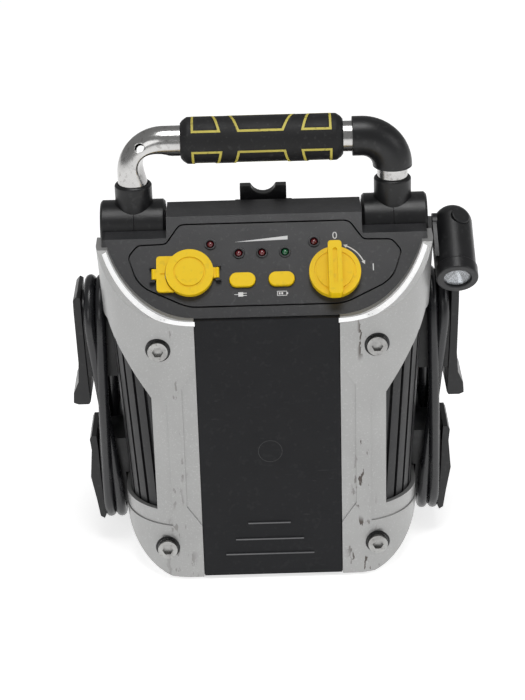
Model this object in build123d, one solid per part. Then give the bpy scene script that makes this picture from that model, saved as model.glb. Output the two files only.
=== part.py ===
"""A portable jump starter pack: a moulded case with silver armour, a sloping control panel, a folding
handle, a tilting work light, and two jumper leads wound on cleats at its sides.

Millimetres. +Z is up, the control panel faces -Y, and the origin is the middle of the base."""

import math
import os

from build123d import *

# Case, overall
case_half_width_low = 101.5     # at the floor
case_half_width_high = 117.0    # at case_top_reference
case_top_reference = 275.0
case_front = -77.0
case_back = 80.0
front_corner_radius = 42.0
back_corner_radius = 24.0
wall = 3.0
foot_height = 2.0

# Side profile
slope_angle = 42.0              # of the control slope, from the vertical
slope_foot = 211.0
ridge_height = 268.0
ridge_back = 4.0
deck_height = 258.0
deck_back = 26.0
back_shoulder = 200.0
base_flat_half = 66.0
base_corner_reach = 105.0
base_corner_rise = 60.0

# Armour and trims
armour_thickness = 4.5
armour_gap = 0.3
armour_back = -6.0
panel_half_width = 51.0
panel_thickness = 3.4
panel_top = 211.0
hood_arc_x = 50.0
hood_arc_radius = 67.7
armour_top = 252.0
armour_step = 0.9
bolt_recess_depth = 1.8
shoulder_height = 256.0
leg_gap = 2.0
base_mouth_x = 58.0
base_mouth_front, base_mouth_back = -66.0, 68.0
foot_x, foot_front, foot_back = 54.0, -62.0, 64.0
pocket_inner = 84.0
pocket_low = 58.0
pocket_straight_top = 150.0
pocket_top = 203.0
rib_grooves_count = 7
rib_first_angle, rib_angle_step = 16.0, 13.0
rib_groove_width = 2.6
rib_groove_depth = 2.4
bolt_x = 77.5
bolt_low = 28.0
bolt_high = 189.0
bolt_recess_radius = 9.0
bolt_head_radius = 7.2
bolt_head_height = 5.0
bolt_shank_radius = 2.5
bolt_shank_length = 12.0
bolt_hex = 7.0

# Handle
hub_axis_z = 251.0
hub_radius = 20.0
hub_inner = 71.0
hub_outer = case_half_width_high + 1.0
hub_gap = 1.2
axle_radius = 5.0
axle_clearance = 0.05
axle_clip = 1.3
leg_x = 93.5
tube_radius = 11.0
tube_bore = 9.4
bar_z = 316.0
bend_radius = 23.0
collar_radius = 13.5
collar_bottom = 262.5
collar_top = 285.0
grip_radius = 16.8
grip_half_length = 58.0
elbow_radius = 14.2
elbow_hole_in, elbow_hole_down, elbow_hole_radius = 6.5, 5.5, 3.3
elbow_reach = 29.0

# Control panel, in the slope's own plane: x across, s up the slope
fascia_flange = 2.0
fascia_flange_reach = 3.0
switch_top = 8.0
usb_x = -73.6
usb_size = (5.8, 13.2)
hinge_length = 8.4
hinge_rise = 1.9
charge_x, charge_z = -30.0, 160.0
charge_radius = 6.5
fascia_gap = 1.1
knob_x, knob_s = 49.2, 30.5
knob_radius = 18.3
knob_base_height = 6.5
knob_bar_width = 9.6
knob_bar_length = 39.0
knob_height = 16.0
knob_shaft_radius = 4.0
cap_x, cap_s = -53.5, 33.0
cap_radius = 17.0
cap_hinge_gap = 2.5
cap_hinge_x = cap_x + cap_radius + cap_hinge_gap
cap_height = 5.5
socket_bore = 10.6
socket_wall = 1.6
socket_depth = 40.0
flap_left = -80.5
flap_low, flap_high = 19.5, 46.0
flap_height = 3.2
button_s = 27.5
button_x = (-16.3, 11.4)
button_length = 18.5
button_width = 10.5
button_proud = 2.6
button_travel = 1.4
led_radius = 2.4
led_places = {"low": (-18.5, 47.8), "middle": (-2.0, 47.8), "high": (14.4, 47.8),
              "outlet": (-38.6, 55.0), "polarity": (35.1, 55.0)}

# Work light: its axis dips below the horizontal, towards the front
lamp_pivot_y, lamp_pivot_z = 0.0, 246.0
lamp_x = hub_outer + 19.2
lamp_radius = 14.3
lamp_wall = 1.8
lamp_reach = 40.0               # from the pivot forward to the bezel
lamp_tail = 14.0                # from the pivot back to the end of the dome
lamp_dip = 30.0
lamp_head_radius = 15.2
lamp_head_length = 10.0
lamp_screw_radius = 2.5
lamp_button_radius = 6.6
lamp_button_turn = 20.0         # round the body, from its top towards the outside
lamp_button_along = 3.0
bracket_thickness = 3.0
bracket_x = hub_outer + 1.0

# Leads, cleats and clamps, on the right side
cable_radius = 4.0
turns = 2
strand_pitch = 8.2
coil_half_width = 31.0
coil_low, coil_high = 14.0, 213.0
coil_inner_low = case_half_width_low + 8.1      # the coil's inner face, at its foot
coil_inner_high = case_half_width_low + 16.9    # and at its top
neck_radius = 19.0
neck_upper_z, neck_lower_z = 182.0, 45.0
flange_half_width = 20.0
gland_y, gland_low, gland_high = 49.0, 150.0, 174.0
gland_x = case_half_width_low + 21.5
lead_in_route = [(123, 49, 150), (122, 48.5, 134), (118.5, 44.5, 118), (114.5, 37.5, 103), (112.8, 31, 87),
                 (114, 27.3, 70)]
lead_out_route = [(119, 30, 98), (119.6, 34, 80), (121, 39.5, 61), (121.5, 46, 42), (119, 56, 26),
                  (114.5, 68, 17.5), (109, 79, 18.5), (104, 87.5, 28), (99.8, 92, 43), (97, 93, 60.2)]
clamp_x, clamp_pivot_z = 72.0, 140.0
clamp_stand_off = 13.0
clamp_y = case_back + clamp_stand_off
clamp_half_depth = 7.0
clamp_pin_radius = 2.5
clamp_ear_radius = 7.0
clamp_ear = 2.2
clamp_ear_gap = 0.3
post_half_thickness = 3.0

# Inside
battery_size = (181.0, 77.0, 167.0)
battery_low = 30.0
battery_back = 17.5
tray_thickness = 3.0
terminal_height = 9.0
link_radius = 3.0
board_thickness = 1.6
panel_board_depth = 12.0

slope_plane_origin = (0, case_front, slope_foot)
angle = math.radians(slope_angle)
slope_normal = (0, -math.cos(angle), math.sin(angle))
slope = Plane(origin=slope_plane_origin, x_dir=(1, 0, 0), z_dir=slope_normal)


def on_slope(x, s, depth=0.0):
    """The plane on the control slope at x across and s up it, raised by depth."""
    return Plane(origin=slope.from_local_coords((x, s, depth)), x_dir=(1, 0, 0), z_dir=slope_normal)


def half_width(z):
    rise = (case_half_width_high - case_half_width_low) / case_top_reference
    return case_half_width_low + rise * z


def mirrored(shape):
    return mirror(shape, Plane.YZ)


def block(x0, x1, y0, y1, z0, z1):
    return Pos((x0 + x1) / 2, (y0 + y1) / 2, (z0 + z1) / 2) * Box(x1 - x0, y1 - y0, z1 - z0)


def rod(point, direction, radius, length):
    """A cylinder that starts at point and runs along direction."""
    return Plane(origin=point, z_dir=direction) * Cylinder(
        radius, length, align=(Align.CENTER, Align.CENTER, Align.MIN))


def extruded_xz(face_points, y0, y1, close=True):
    """A prism of an outline in X and Z, from y0 to y1."""
    outline = Polyline(*face_points, close=close)
    plane = Plane(origin=(0, y1, 0), x_dir=(1, 0, 0), z_dir=(0, -1, 0))
    return extrude(plane * make_face(outline), y1 - y0)


def plan_section(z, grow):
    wide = half_width(z) + grow
    low, high = case_front - grow, case_back + grow
    front, back = front_corner_radius + grow, back_corner_radius + grow
    corner = math.sqrt(0.5)
    line = [
        Line((-wide + front, low), (wide - front, low)),
        ThreePointArc((wide - front, low), (wide - front + front * corner, low + front - front * corner),
                      (wide, low + front)),
        Line((wide, low + front), (wide, high - back)),
        ThreePointArc((wide, high - back), (wide - back + back * corner, high - back + back * corner),
                      (wide - back, high)),
        Line((wide - back, high), (-wide + back, high)),
        ThreePointArc((-wide + back, high), (-wide + back - back * corner, high - back + back * corner),
                      (-wide, high - back)),
        Line((-wide, high - back), (-wide, low + front)),
        ThreePointArc((-wide, low + front), (-wide + front - front * corner, low + front - front * corner),
                      (-wide + front, low)),
    ]
    return Pos(0, 0, z) * make_face(Wire(line))


def side_profile(grow):
    run = ridge_height - slope_foot
    shift_up = grow * math.tan((math.pi / 2 - angle) / 2)
    shift_top = grow * math.tan((math.pi / 2 - angle) / 2)
    slope_start = (case_front - grow, slope_foot + grow * math.tan(angle / 2))
    slope_end = (case_front + run * math.tan(angle) - shift_top, ridge_height + grow)
    points = [
        (case_front - grow, foot_height - min(grow, 0)),
        slope_start,
        slope_end,
        (ridge_back + grow, ridge_height + grow),
        (ridge_back + 6 + grow, deck_height + grow),
        (deck_back + grow * 0.4, deck_height + grow),
        (case_back + grow, back_shoulder + grow * 0.4),
        (case_back + grow, foot_height - min(grow, 0)),
    ]
    outline = Polyline(*points, close=True)
    plane = Plane(origin=(-160, 0, 0), x_dir=(0, 1, 0), z_dir=(1, 0, 0))
    return extrude(plane * make_face(outline), 320)


def base_corner_cut(grow):
    """What the rounded lower corners take away, on the right."""
    reach, rise = base_corner_reach + grow, base_corner_rise
    flat = base_flat_half + grow
    middle = (flat + (reach - flat) * 0.66, rise * 0.27)
    lines = [
        ThreePointArc((flat, foot_height - 1 - min(grow, 0)), middle, (reach, rise)),
        Line((reach, rise), (200, rise)),
        Line((200, rise), (200, -20)),
        Line((200, -20), (flat, -20)),
        Line((flat, -20), (flat, foot_height - 1 - min(grow, 0))),
    ]
    plane = Plane(origin=(0, 150, 0), x_dir=(1, 0, 0), z_dir=(0, -1, 0))
    return extrude(plane * make_face(Wire(lines)), 300)


def envelope(grow):
    """The case's outer form, moved outwards by grow."""
    tall = loft([plan_section(0, grow), plan_section(case_top_reference + 20, grow)], ruled=True)
    cut = base_corner_cut(grow)
    return (tall & side_profile(grow)) - cut - mirrored(cut)


def hood_region(drop=0.0):
    """Everything above the hood's lower edge, which is level in the middle and rises in an arc outside."""
    radius = hood_arc_radius + drop
    centre_z = panel_top + hood_arc_radius
    low = centre_z - radius
    end = math.radians(-14)
    reach = (hood_arc_x + radius * math.cos(end), centre_z + radius * math.sin(end))
    halfway = math.radians(-52)
    through = (hood_arc_x + radius * math.cos(halfway), centre_z + radius * math.sin(halfway))
    lines = [
        Line((-hood_arc_x, low), (hood_arc_x, low)),
        ThreePointArc((hood_arc_x, low), through, reach),
        Line(reach, (reach[0] + 25, reach[1])),
        Line((reach[0] + 25, reach[1]), (reach[0] + 25, 330)),
        Line((reach[0] + 25, 330), (-reach[0] - 25, 330)),
        Line((-reach[0] - 25, 330), (-reach[0] - 25, reach[1])),
        Line((-reach[0] - 25, reach[1]), (-reach[0], reach[1])),
        ThreePointArc((-reach[0], reach[1]), (-through[0], through[1]), (-hood_arc_x, low)),
    ]
    plane = Plane(origin=(0, 200, 0), x_dir=(1, 0, 0), z_dir=(0, -1, 0))
    return extrude(plane * make_face(Wire(lines)), 400)


def pocket_region():
    """The cut-out at the right front corner of the armour, which shows the ribs behind."""
    wide = half_width(pocket_top) + 20
    points = [(pocket_inner, pocket_low), (pocket_inner, pocket_straight_top), (pocket_inner + 12, 168),
              (pocket_inner + 23, 186), (half_width(pocket_top) + 1, pocket_top), (wide, pocket_top),
              (wide, pocket_low)]
    return extruded_xz(points, -140, 90)


def hub_space(grow=0.0):
    """The room that the right hub and leg need, at rest and folded back, with walls of grow round it."""
    reach = half_width(case_top_reference) + 12
    inner = hub_inner - hub_gap - grow
    radius = hub_radius + hub_gap + grow
    turn = rod((inner, 0, hub_axis_z), (1, 0, 0), radius, reach - inner)
    above = block(inner, reach, -radius, 120, hub_axis_z, 300)
    behind = block(inner, reach, 0, 120, hub_axis_z - elbow_radius - leg_gap - grow, 300)
    return turn + above + behind


def case_form(wall_depth):
    """The case's outer form, or with a wall depth the form of its cavity."""
    edge = hub_inner - hub_gap - wall_depth
    shoulder = block(edge, 160, -160, ridge_back + wall_depth, shoulder_height - wall_depth, 340)
    taken = shoulder + hub_space(wall_depth)
    return envelope(-wall_depth) - taken - mirrored(taken)


def fascia_outline(grow):
    """The control plate's outline across the slope and up it."""
    corners = [((55, 9), 30), ((90, 26), 24), ((96.5, 47), 6), ((90, 55), 5), ((70, 55.5), 5), ((60, 70), 6)]
    half = [corner for corner, radius in corners]
    points = half + [(-x, s) for x, s in reversed(half)]
    face = make_face(Polyline(*points, close=True))
    for (x, s), radius in corners:
        for side in (-1, 1):
            corner = face.vertices().sort_by_distance((side * x, s, 0))[0]
            face = fillet(corner, radius)
    return offset(face, amount=grow) if grow else face


def combined(shapes):
    """One shape out of several, joined."""
    total = shapes[0]
    for shape in shapes[1:]:
        total = total + shape
    return total


def slope_cylinder(x, s, radius, low, high):
    return on_slope(x, s, low) * Cylinder(radius, high - low, align=(Align.CENTER, Align.CENTER, Align.MIN))


def slope_slot(x, s, length, width, low, high):
    """A rounded bar, lying across the slope."""
    return on_slope(x, s, low) * extrude(SlotOverall(length, width), high - low)


def slope_plate(face, low, high):
    return on_slope(0, 0, low) * extrude(face, high - low)


def case_openings():
    """Holes through the case's walls."""
    axle = rod((50, 0, hub_axis_z), (1, 0, 0), axle_radius, 30)
    gland = rod((90, gland_y, (gland_low + gland_high) / 2), (1, 0, 0), cable_radius + 2, 40)
    jack = rod((charge_x, case_back - 10, charge_z), (0, 1, 0), charge_radius, 20)
    bolts = [rod((bolt_x, case_front - 10, z), (0, 1, 0), bolt_shank_radius, 40) for z in (bolt_low, bolt_high)]
    return [axle, mirrored(axle), gland, mirrored(gland), jack, *bolts, *[mirrored(bolt) for bolt in bolts]]


def case_parts():
    """The front case, the control hood and the rear case."""
    shell = case_form(0) - case_form(wall)
    for opening in case_openings():
        shell = shell - opening
    front_half = block(-160, 160, -160, ridge_back, -10, 340)
    back_half = block(-160, 160, ridge_back, 160, -10, 340)
    front = (shell & front_half) - hood_region()
    hood = (shell & front_half) & hood_region()
    rear = shell & back_half
    front = front - rib_grooves() - mirrored(rib_grooves())
    mouth = block(-base_mouth_x, base_mouth_x, base_mouth_front, base_mouth_back, -10, foot_height + wall + 1)
    hood = hood - slope_plate(fascia_outline(fascia_gap), -wall - 6, 4)
    return front - mouth, hood, rear - mouth


def rib_grooves():
    """The upright grooves between the ribs at the right front corner, leaning with the wall."""
    lean = math.degrees(math.atan((case_half_width_high - case_half_width_low) / case_top_reference))
    middle_z = (pocket_low + pocket_top) / 2
    cuts = []
    for step in range(rib_grooves_count):
        turn = math.radians(rib_first_angle + rib_angle_step * step)
        x = half_width(middle_z) - front_corner_radius + front_corner_radius * math.sin(turn)
        y = case_front + front_corner_radius - front_corner_radius * math.cos(turn)
        bar = Box(rib_groove_width, 2 * rib_groove_depth, pocket_top - pocket_low + 6)
        cuts.append(Pos(x, y, middle_z) * Rot(0, lean, 0) * Rot(0, 0, math.degrees(turn)) * bar)
    return combined(cuts)


def armour():
    """The right silver shell: a skin round the front corner, cut for the pocket, the hood and the panel."""
    skin = envelope(armour_thickness) - envelope(armour_gap)
    keep = block(panel_half_width + 0.4, 160, -160, armour_back, foot_height + 0.5, armour_top)
    skin = (skin & keep) - hood_region(-0.4) - pocket_region() - hub_space()
    face_y = case_front - armour_thickness
    for z in (bolt_low, bolt_high):
        skin = skin - rod((bolt_x, face_y - 20, z), (0, 1, 0), bolt_recess_radius, 20 + bolt_recess_depth)
        skin = skin - rod((bolt_x, face_y - 20, z), (0, 1, 0), bolt_shank_radius + 0.2, 60)
    beside_panel = [(panel_half_width - 1, 176), (62, 158), (62, 62), (panel_half_width - 1, 44)]
    skin = skin - extruded_xz(beside_panel, -140, face_y + armour_step)
    rim = [(pocket_inner - 11, 46), (pocket_inner - 11, 148), (pocket_inner + 4, 170),
           (pocket_inner + 30, 196), (150, 196), (150, 46)]
    outer_layer = envelope(armour_thickness) - envelope(armour_thickness - armour_step)
    return skin - (outer_layer & extruded_xz(rim, -140, 90))


def front_panel():
    """The black strip down the middle of the front, with three moulded lines near its foot."""
    back = case_front - armour_gap
    face = back - panel_thickness
    strip = block(-panel_half_width, panel_half_width, face, back, foot_height + 1, panel_top - 0.4)
    for length, z in ((31, 47), (50, 33.5), (65, 21)):
        strip = strip + block(-length / 2 - 2, length / 2 - 2, face - 0.8, face + 0.2, z - 0.7, z + 0.7)
    return strip


def hex_socket_bolt(z):
    """One of the bolts that hold the armour, with a hexagon socket in its head."""
    seat = case_front - armour_thickness + bolt_recess_depth
    head = rod((bolt_x, seat, z), (0, -1, 0), bolt_head_radius, bolt_head_height)
    shank = rod((bolt_x, seat, z), (0, 1, 0), bolt_shank_radius, bolt_shank_length)
    face = Plane(origin=(bolt_x, seat - bolt_head_height, z), x_dir=(1, 0, 0), z_dir=(0, 1, 0))
    return head + shank - face * extrude(RegularPolygon(bolt_hex / math.sqrt(3), 6), 3)


def base_plate():
    """The plate that closes the base, with a raised rim to stand on."""
    gap = 0.3
    plate = block(-base_mouth_x + gap, base_mouth_x - gap, base_mouth_front + gap, base_mouth_back - gap,
                  foot_height, foot_height + wall)
    flange = block(-base_mouth_x - 6, base_mouth_x + 6, base_mouth_front - 5, base_mouth_back + 5,
                   foot_height + wall + gap, foot_height + 2 * wall)
    core = block(-base_mouth_x + gap, base_mouth_x - gap, base_mouth_front + gap, base_mouth_back - gap,
                 foot_height + wall, foot_height + 2 * wall)
    rim = block(-foot_x, foot_x, foot_front, foot_back, 0, foot_height + 0.5)
    hollow = block(-foot_x + 12, foot_x - 12, foot_front + 12, foot_back - 12, -1, foot_height)
    return plate + flange + core + rim - hollow


def fascia():
    """The control plate: it fills the hood's opening, and its flange seats behind the hood's wall."""
    low = -wall - 0.3 - fascia_flange
    plate = slope_plate(fascia_outline(0), low, 0)
    flange = slope_plate(fascia_outline(fascia_flange_reach), low, -wall - 0.3)
    body = plate + (flange & case_form(wall + 0.3))
    holes = [slope_cylinder(knob_x, knob_s, knob_shaft_radius + 0.4, -9, 2),
             slope_cylinder(cap_x, cap_s, socket_bore + socket_wall + 0.1, -9, 2)]
    usb = on_slope(usb_x, cap_s, -9) * extrude(Rectangle(usb_size[0] + 0.2, usb_size[1] + 0.2), 11)
    holes.append(usb)
    for x in button_x:
        holes.append(slope_slot(x, button_s, button_length + 0.7, button_width + 0.7, -9, 2))
    for x, s in led_places.values():
        holes.append(slope_cylinder(x, s, led_radius + 0.3, -9, 2))
    for x, s in ((-30, 42), (25, 42), (-12, 15.5), (12, 15.5)):
        body = body + slope_cylinder(x, s, 2.2, -panel_board_depth, low + 0.2)
    return body - combined(holes)


def knob():
    """The power knob, its shaft and its finger bar. The bar's tip points up the slope when off."""
    base = slope_cylinder(knob_x, knob_s, knob_radius, 0.4, knob_base_height)
    ring = (slope_cylinder(knob_x, knob_s, knob_radius - 3.4, knob_base_height - 0.7, knob_base_height + 1)
            - slope_cylinder(knob_x, knob_s, knob_radius - 5.2, knob_base_height - 1.7, knob_base_height + 2))
    bar = on_slope(knob_x, knob_s, knob_base_height - 2) * extrude(
        RectangleRounded(knob_bar_width, knob_bar_length, 2.2), knob_height - knob_base_height + 2)
    slot = on_slope(knob_x, knob_s + 1, knob_height - 1.2) * extrude(SlotOverall(26, 3, rotation=90), 4)
    shaft = slope_cylinder(knob_x, knob_s, knob_shaft_radius, -switch_top - 12, 1)
    return base - ring + bar - slot + shaft


def power_switch():
    """The high-current switch behind the knob, with its two terminals."""
    body = slope_cylinder(knob_x, knob_s, 16, -switch_top - 20, -switch_top)
    nose = slope_cylinder(knob_x, knob_s, 7, -switch_top - 1, -wall - 0.3 - fascia_flange)
    bore = slope_cylinder(knob_x, knob_s, knob_shaft_radius + axle_clearance, -switch_top - 13, 0)
    studs = [slope_cylinder(knob_x + dx, knob_s, 3, -switch_top - 26, -switch_top - 19) for dx in (-9, 9)]
    return body + nose - bore + combined(studs)


def push_button(x):
    stem = slope_slot(x, button_s, button_length, button_width, -7.5, button_proud)
    flange = slope_slot(x, button_s, button_length + 3, button_width + 3, -9, -7)
    return stem + flange


def outlet_socket():
    low = -socket_depth - socket_wall
    tube = slope_cylinder(cap_x, cap_s, socket_bore + socket_wall, low, 0)
    return tube - slope_cylinder(cap_x, cap_s, socket_bore, -socket_depth, 1)


def usb_port():
    wide, tall = usb_size
    sheet = 0.5
    shell = on_slope(usb_x, cap_s, -14) * extrude(Rectangle(wide, tall), 14)
    inside = on_slope(usb_x, cap_s, -13) * extrude(Rectangle(wide - 2 * sheet, tall - 2 * sheet), 14)
    tongue = on_slope(usb_x - 1.1, cap_s, -13.5) * extrude(Rectangle(1.6, tall - 2.4), 11)
    return shell - inside + tongue


def leaf_hinge(x, s, side):
    """Two ears and a pin beside a cover. side is -1 where the cover lies to the left of the pin."""
    ears = []
    for end in (-1, 1):
        ear = on_slope(x + side * 0.9, s + end * (hinge_length / 2 + 1), 0.05) * extrude(
            Rectangle(3.8, 1.7), hinge_rise + 1.4)
        ears.append(ear)
    pin = Plane(origin=slope.from_local_coords((x, s - hinge_length / 2 - 1.5, hinge_rise)),
                z_dir=(0, math.sin(angle), math.cos(angle))) * Cylinder(
        0.8, hinge_length + 3, align=(Align.CENTER, Align.CENTER, Align.MIN))
    return combined(ears) + pin


def hinge_barrel(x, s, toward):
    """The cover's half of a leaf hinge, with a strap that reaches toward the cover."""
    axis_plane = Plane(origin=slope.from_local_coords((x, s - hinge_length / 2 + 0.4, hinge_rise)),
                       z_dir=(0, math.sin(angle), math.cos(angle)))
    length = hinge_length - 0.8
    barrel = axis_plane * Cylinder(1.5, length, align=(Align.CENTER, Align.CENTER, Align.MIN))
    strap = on_slope(x + toward * 2.5, s, hinge_rise - 1.3) * extrude(Rectangle(5, length), 2.4)
    bore = axis_plane * Cylinder(0.86, length * 3, align=(Align.CENTER, Align.CENTER, Align.CENTER))
    return barrel + strap - bore


def outlet_cap():
    """The round cover over the outlet, hinged at its right."""
    disc = slope_cylinder(cap_x, cap_s, cap_radius, 0.5, cap_height)
    ring = (slope_cylinder(cap_x, cap_s, cap_radius - 5.6, cap_height - 0.8, cap_height + 1)
            - slope_cylinder(cap_x, cap_s, cap_radius - 7.0, cap_height - 1.8, cap_height + 2))
    return disc - ring + hinge_barrel(cap_hinge_x, cap_s, -1)


def port_flap():
    """The rounded cover over the data port, hinged at its left, and hollowed to meet the round cap."""
    middle_s = (flap_low + flap_high) / 2
    right = cap_x - 4
    left = flap_left + 3.5
    plate = on_slope((left + right) / 2, middle_s, 0.5) * extrude(
        RectangleRounded(right - left, flap_high - flap_low, 2.5), flap_height - 0.5)
    plate = plate - slope_cylinder(cap_x, cap_s, cap_radius + 0.5, -1, 9)
    nick = on_slope(flap_left + 10, middle_s, flap_height - 0.6) * extrude(SlotOverall(8, 1), 3)
    return plate - nick + hinge_barrel(flap_left + 1.5, middle_s, 1)


def indicator(place):
    x, s = led_places[place]
    body = slope_cylinder(x, s, led_radius, -panel_board_depth, -0.8)
    dome = on_slope(x, s, -0.8) * Sphere(led_radius)
    return body + (dome & slope_cylinder(x, s, led_radius + 1, -0.8, 3))


def panel_board():
    low = -panel_board_depth - board_thickness
    main = on_slope(-3, 30.5, low) * extrude(Rectangle(62, 33), board_thickness)
    upper = on_slope(-2, 54.5, low) * extrude(Rectangle(82, 15), board_thickness)
    return main + upper


def rear_cradle():
    """The notched rest behind the ridge."""
    post = block(-17, 17, 13, 21, deck_height + 0.05, 275)
    foot = block(-21, 21, 11, 24, deck_height + 0.05, deck_height + 3)
    return post + foot - rod((0, 0, 279), (0, 1, 0), 10, 40)


def handle_path():
    points = [(-leg_x, 0, hub_axis_z + 8), (-leg_x, 0, bar_z), (leg_x, 0, bar_z), (leg_x, 0, hub_axis_z + 8)]
    return FilletPolyline(*points, radius=bend_radius)


def swept(path, radius):
    return sweep(Plane(origin=path @ 0, z_dir=path % 0) * Circle(radius), path=path)


def handle_tube():
    tube = swept(handle_path(), tube_radius) - swept(handle_path(), tube_bore)
    through = Plane(origin=(-leg_x + elbow_hole_in, 0, bar_z - elbow_hole_down), z_dir=(0, 1, -0.45))
    return tube - through * Cylinder(elbow_hole_radius, 60)


def handle_grip():
    sleeve = rod((-grip_half_length, 0, bar_z), (1, 0, 0), grip_radius, 2 * grip_half_length)
    sleeve = chamfer(sleeve.edges().filter_by(GeomType.CIRCLE), 4.0)
    return sleeve - rod((-80, 0, bar_z), (1, 0, 0), tube_radius, 160)


def elbow_cover():
    reach = leg_x - elbow_reach
    path = FilletPolyline((reach, 0, bar_z), (leg_x, 0, bar_z), (leg_x, 0, bar_z - elbow_reach + 6),
                          radius=bend_radius - 0.5)
    return swept(path, elbow_radius) - swept(handle_path(), tube_radius + 0.02)


def collar():
    ring = rod((leg_x, 0, collar_bottom), (0, 0, 1), collar_radius, collar_top - collar_bottom)
    ring = chamfer(ring.edges().filter_by(GeomType.CIRCLE).sort_by(Axis.Z)[-1], 1.2)
    return ring - rod((leg_x, 0, 200), (0, 0, 1), tube_radius + 0.02, 120)


def hub_half(x0, x1, outer_end):
    drum = rod((x0, 0, hub_axis_z), (1, 0, 0), hub_radius, x1 - x0)
    edges = drum.edges().filter_by(GeomType.CIRCLE).sort_by(Axis.X)
    drum = chamfer(edges[-1] if outer_end else edges[0], 1.6)
    drum = drum - rod((50, 0, hub_axis_z), (1, 0, 0), axle_radius + axle_clearance, 90)
    drum = drum - rod((leg_x, 0, collar_bottom - 0.05), (0, 0, 1), collar_radius + 0.05, 60)
    return drum - rod((leg_x, 0, hub_axis_z + 7.9), (0, 0, 1), tube_radius + 0.05, 60)


def axle():
    """The pin that a hub turns on, with a clip behind the case's wall."""
    clip_back = hub_inner - hub_gap - wall - axle_clip - 0.1
    shaft = rod((clip_back, 0, hub_axis_z), (1, 0, 0), axle_radius, hub_outer - 1 - clip_back)
    return shaft + rod((clip_back, 0, hub_axis_z), (1, 0, 0), axle_radius + 3, axle_clip)


dip = math.radians(lamp_dip)
lamp_axis = Vector(0, -math.cos(dip), -math.sin(dip))
lamp_up = Vector(0, -math.sin(dip), math.cos(dip))
lamp_pivot = Vector(lamp_x, lamp_pivot_y, lamp_pivot_z)


def lamp_rod(start, stop, radius):
    """A cylinder on the lamp's axis, from start to stop ahead of the pivot."""
    return rod(tuple(lamp_pivot + lamp_axis * start), tuple(lamp_axis), radius, stop - start)


def lamp_form(radius, start, stop):
    """A barrel with a domed tail."""
    dome = Pos(*(lamp_pivot + lamp_axis * start)) * Sphere(radius)
    return lamp_rod(start, stop, radius) + dome


def lamp_button_rod(radius, low, high):
    turn = math.radians(lamp_button_turn)
    outwards = Vector(math.sin(turn), 0, 0) + lamp_up * math.cos(turn)
    foot = lamp_pivot + lamp_axis * lamp_button_along + outwards * low
    return rod(tuple(foot), tuple(outwards), radius, high - low)


def lamp_parts():
    start = lamp_radius - lamp_tail
    body = lamp_form(lamp_radius, start, lamp_reach)
    pad = rod((lamp_x - lamp_radius - 0.7, lamp_pivot_y, lamp_pivot_z), (1, 0, 0), 8.5, lamp_radius)
    arm_end = lamp_pivot + lamp_axis * 34
    arm = Pos(lamp_x - lamp_radius + 3.3, (lamp_pivot.Y + arm_end.Y) / 2, (lamp_pivot.Z + arm_end.Z) / 2) * Rot(
        lamp_dip, 0, 0) * Box(8, 34, 15)
    body = body + pad + arm
    body = body - lamp_form(lamp_radius - lamp_wall, start, lamp_reach + 1)
    body = body - lamp_button_rod(lamp_button_radius + 0.3, 5, 30)
    screw_bore = rod((bracket_x, lamp_pivot_y, lamp_pivot_z), (1, 0, 0), lamp_screw_radius + axle_clearance, 12)
    body = body - screw_bore
    bezel = lamp_rod(lamp_reach + 0.05, lamp_reach + lamp_head_length, lamp_head_radius)
    bezel = bezel - lamp_rod(lamp_reach - 1, lamp_reach + lamp_head_length + 1, 9.6)
    glass_at = lamp_reach + lamp_head_length - 4
    lens = lamp_rod(glass_at, glass_at + 1.6, 9.6)
    cup = lamp_rod(lamp_reach - 4, glass_at - 0.05, 9.55)
    hollow = Plane(origin=lamp_pivot + lamp_axis * (lamp_reach - 3), z_dir=lamp_axis) * Cone(
        2.6, 9.0, glass_at - lamp_reach + 3, align=(Align.CENTER, Align.CENTER, Align.MIN))
    chip = lamp_rod(lamp_reach - 3, lamp_reach - 1.6, 1.6)
    button = lamp_button_rod(lamp_button_radius, 7.5, lamp_radius + 0.9)
    button = button + lamp_button_rod(lamp_button_radius + 1.2, 7.5, 9.0)
    return body, bezel, cup - hollow + chip, lens, button


def lamp_bracket():
    """An arm on the case's side that reaches up past the hub's end to the lamp's pivot."""
    low_y, low_z = 36.0, 214.0
    outline = Polyline((lamp_pivot_y - 7, lamp_pivot_z), (lamp_pivot_y, lamp_pivot_z + 7),
                       (lamp_pivot_y + 7, lamp_pivot_z + 4), (low_y + 10, low_z + 8), (low_y + 10, low_z - 10),
                       (low_y - 12, low_z - 10), (lamp_pivot_y - 2, lamp_pivot_z - 7), close=True)
    plane = Plane(origin=(bracket_x, 0, 0), x_dir=(0, 1, 0), z_dir=(1, 0, 0))
    arm = plane * extrude(make_face(outline), bracket_thickness)
    foot = block(100, bracket_x + 1, low_y - 10, low_y + 8, low_z - 9, low_z + 5) - envelope(0.02)
    foot = foot & block(half_width(low_z) - 4, 200, 0, 100, 0, 300)
    bore = rod((bracket_x - 2, lamp_pivot_y, lamp_pivot_z), (1, 0, 0), lamp_screw_radius, 20)
    return arm + foot - bore


def lamp_screw():
    shank = rod((bracket_x, lamp_pivot_y, lamp_pivot_z), (1, 0, 0), lamp_screw_radius,
                lamp_x - lamp_radius + lamp_wall - bracket_x + 1)
    nut = rod((lamp_x - lamp_radius + lamp_wall + 0.9, lamp_pivot_y, lamp_pivot_z), (1, 0, 0), 4.4, 2.4)
    return shank + nut


def coil_face(z):
    """X of the coil's inner face at height z."""
    share = (z - coil_low) / (coil_high - coil_low)
    return coil_inner_low + (coil_inner_high - coil_inner_low) * share


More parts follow.
